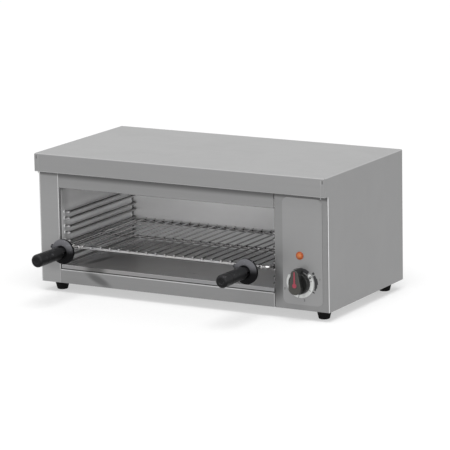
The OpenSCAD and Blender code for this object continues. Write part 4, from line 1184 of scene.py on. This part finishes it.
# The casing, column, top, panel and fascia are one steel: their different greys are painted light and shade,
# lit and shaded copies of one material
def finish_sheets():
    # Painted light: the casing's top faces are painted paler
    finish(sheet_steel("brushed_casing_steel", grey(0.281), shine=1.3, full_shine=BELOW_VISOR, painted_tone=0.5),
           "outer_casing")
    finish(sheet_steel("brushed_column_steel", grey(0.300), shine=0.45, full_shine=ABOVE_FASCIA,
                       zones=(PAINTED_VISOR_SHADOW,), shade_patches=(PAINTED_HANDLE_SHADOW_ON_COLUMN,)), "left_column")
    finish(sheet_steel("brushed_top_steel", grey(0.268), shine=0.15, zones=(PAINTED_VISOR_SHADOW_DEEP,)),
           "top_fascia")
    finish(sheet_steel("brushed_panel_steel", grey(0.246), shine=0.2, zones=(PAINTED_VISOR_SHADOW,),
                       shade_patches=(PAINTED_GUARD_SHADOW_ON_PANEL,)), "control_panel")
    finish(sheet_steel("brushed_fascia_steel", grey(0.246), roughness=0.40, shine=1.0,
                       full_shine=LEFT_OF_PANEL, shade_patches=(PAINTED_HANDLE_SHADOW_ON_FASCIA,)), "lower_fascia")
    finish(sheet_steel("satin_overlay_steel", grey(0.294), roughness=0.46, spread=0.1, contrast=0.08,
                       film=0.04, lines=1500), "control_overlay")
    finish(sheet_steel("plain_rolled_sheet", grey(0.27), roughness=0.46, spread=0.12, contrast=0.1, film=0.08,
                       lines=500), "base_pan", "back_panel")
    finish(sheet_steel("bright_lining_sheet", grey(0.88), roughness=0.40, spread=0.03, contrast=0.03,
                       film=0.03, tint=0.02, lines=300, relief=0, metal=0.35, shine=0.1),
           "cavity_back", "cavity_floor", "roof_reflector")
    finish(sheet_steel("side_lining_sheet", grey(0.90), spread=0.05, contrast=0.04, tint=0.02, lines=300,
                       relief=0, metal=0.15, shine=0.1, zones=(PAINTED_UPPER_LINING_SHADE, PAINTED_FRONT_LINING_SHADE, PAINTED_CORNER_SHADOW),
                       shade_patches=(PAINTED_LINING_CORNER_SHADE,)), "cavity_wall_left", "cavity_wall_right")
    finish(sheet_steel("crumb_tray_sheet", grey(0.27), roughness=0.28, spread=0.05, contrast=0.06, film=0.08,
                       tint=0.05, lines=300, relief=0, metal=0.8, shine=0.5, zones=(PAINTED_LIGHT_BEHIND_LIP, PAINTED_LIP_GAP_SHADOW),
                       shade_patches=(PAINTED_HANDLE_SHADOW_ON_LIP, PAINTED_HANDLE_SHADOW_ON_TRAY)), "crumb_tray")


def finish_wires_and_fittings():
    finish(bright_wire("bright_chrome_wire", grey(0.56), 0.12),
           "handle_wires_left", "handle_wires_right", "regulator_shaft")
    # Painted shade: the guide wires' tops are painted dark, their undersides stay bright
    finish(bright_wire("guide_wire_painted_shade", grey(0.66), 0.34, tint=0.05, painted_top_shade=0.74),
           "guide_wires_left", "guide_wires_right")
    finish(bright_wire("rack_chrome_wire", grey(0.46), 0.16, film=0.12, tint=0.08), "rack_frame", "rack_bars")
    bright_wire("bright_weld_metal", grey(0.52), 0.34, film=0.12, tint=0.15)
    finish(bright_wire("oxidised_element_sheath", (0.13, 0.125, 0.12, 1), 0.42, film=0.12, tint=0.3),
           "element_front", "element_middle", "element_rear", "element_hanger_left", "element_hanger_right")
    finish(bright_wire("turned_brass", (0.62, 0.45, 0.16, 1), 0.24),
           "element_ferrules", "regulator_nut", "terminal_screws")
    finish(bright_wire("zinc_plated_steel", (0.50, 0.51, 0.52, 1), 0.28),
           "back_panel_screws", "foot_screws", "foot_nuts", "pilot_nut")


def finish_mouldings_and_prints():
    finish(moulding("glazed_steatite", (0.78, 0.76, 0.70, 1), roughness=0.25, rub=0.1), "element_insulators")
    # Painted light: the guards' upper faces and fronts are painted paler, the lower halves stay dark
    finish(moulding("matt_guard_phenolic", (0.005, 0.005, 0.0055, 1), roughness=0.6, spread=0.12, rub=0.5,
                    sheen=0.06, painted_tone=0.9, painted_tone_colour=(0.152, 0.152, 0.164, 1), painted_tone_faces=(-0.35, 0.1),
                    painted_tone_zones=(GUARD_UPPER, GUARD_FRONT), scuffs=((320, 320, 320), 0.9)),
           "guard_left", "guard_right")
    # Painted highlight: the grips' upper faces are painted a little paler
    finish(moulding("satin_grip_phenolic", (0.006, 0.006, 0.0065, 1), roughness=0.42, spread=0.14, rub=0.5,
                    sheen=0.13, painted_tone=0.08, scuffs=((260, 90, 260), 2.5)), "grip_left", "grip_right")
    # Painted sheen: the knob's front face is painted a paler grey-green
    finish(moulding("satin_knob_plastic", (0.010, 0.0105, 0.010, 1), roughness=0.34, spread=0.12, rub=0.4,
                    sheen=0.3, painted_tone=1.0, painted_tone_colour=(0.060, 0.058, 0.052, 1), painted_tone_faces=(-0.9, -0.5),
                    painted_tone_zones=(KNOB_FACE,), scuffs=((300, 300, 700), 0.5)), "knob")
    finish(moulding("red_pointer_print", (0.33, 0.060, 0.085, 1), roughness=0.45, sheen=0.2), "knob_pointer")
    moulding("white_dial_print", (0.62, 0.63, 0.62, 1), rub=0.9)
    moulding("grey_dial_print", (0.12, 0.12, 0.12, 1), rub=0.2, sheen=0.2)
    moulding("black_dial_print", (0.042, 0.042, 0.044, 1), sheen=0.2)
    # Painted shade for the notches at the visor's ends
    moulding("painted_notch_shade", (0.15, 0.15, 0.15, 1), roughness=0.7, rub=0.5, sheen=0.1)
    finish(moulding("ivory_moulding", (0.62, 0.59, 0.50, 1), roughness=0.42, spread=0.12, rub=0.15),
           "regulator_body", "pilot_body", "terminal_block")
    # Painted light: the lens is painted bright at its core and dark at its rim
    finish(lens_plastic("amber_lens_plastic", LENS_PLACE, core=(0.92, 0.45, 0.09, 1),
                        rim=(0.42, 0.09, 0.03, 1)), "pilot_lens")
    finish(moulding("black_nylon", (0.02, 0.02, 0.021, 1), spread=0.12, sheen=0.25),
           "cable_gland", "gland_nut")
    finish(moulding("black_rubber", (0.008, 0.008, 0.008, 1), roughness=0.8, rub=0.6, grains=900, relief=0.3,
                    sheen=0.1), "foot_front_left", "foot_front_right", "foot_rear_left", "foot_rear_right")


# Assembly

set_camera()
set_studio()
make_groups()
finish_sheets()
finish_wires_and_fittings()
finish_mouldings_and_prints()
build_pieces()
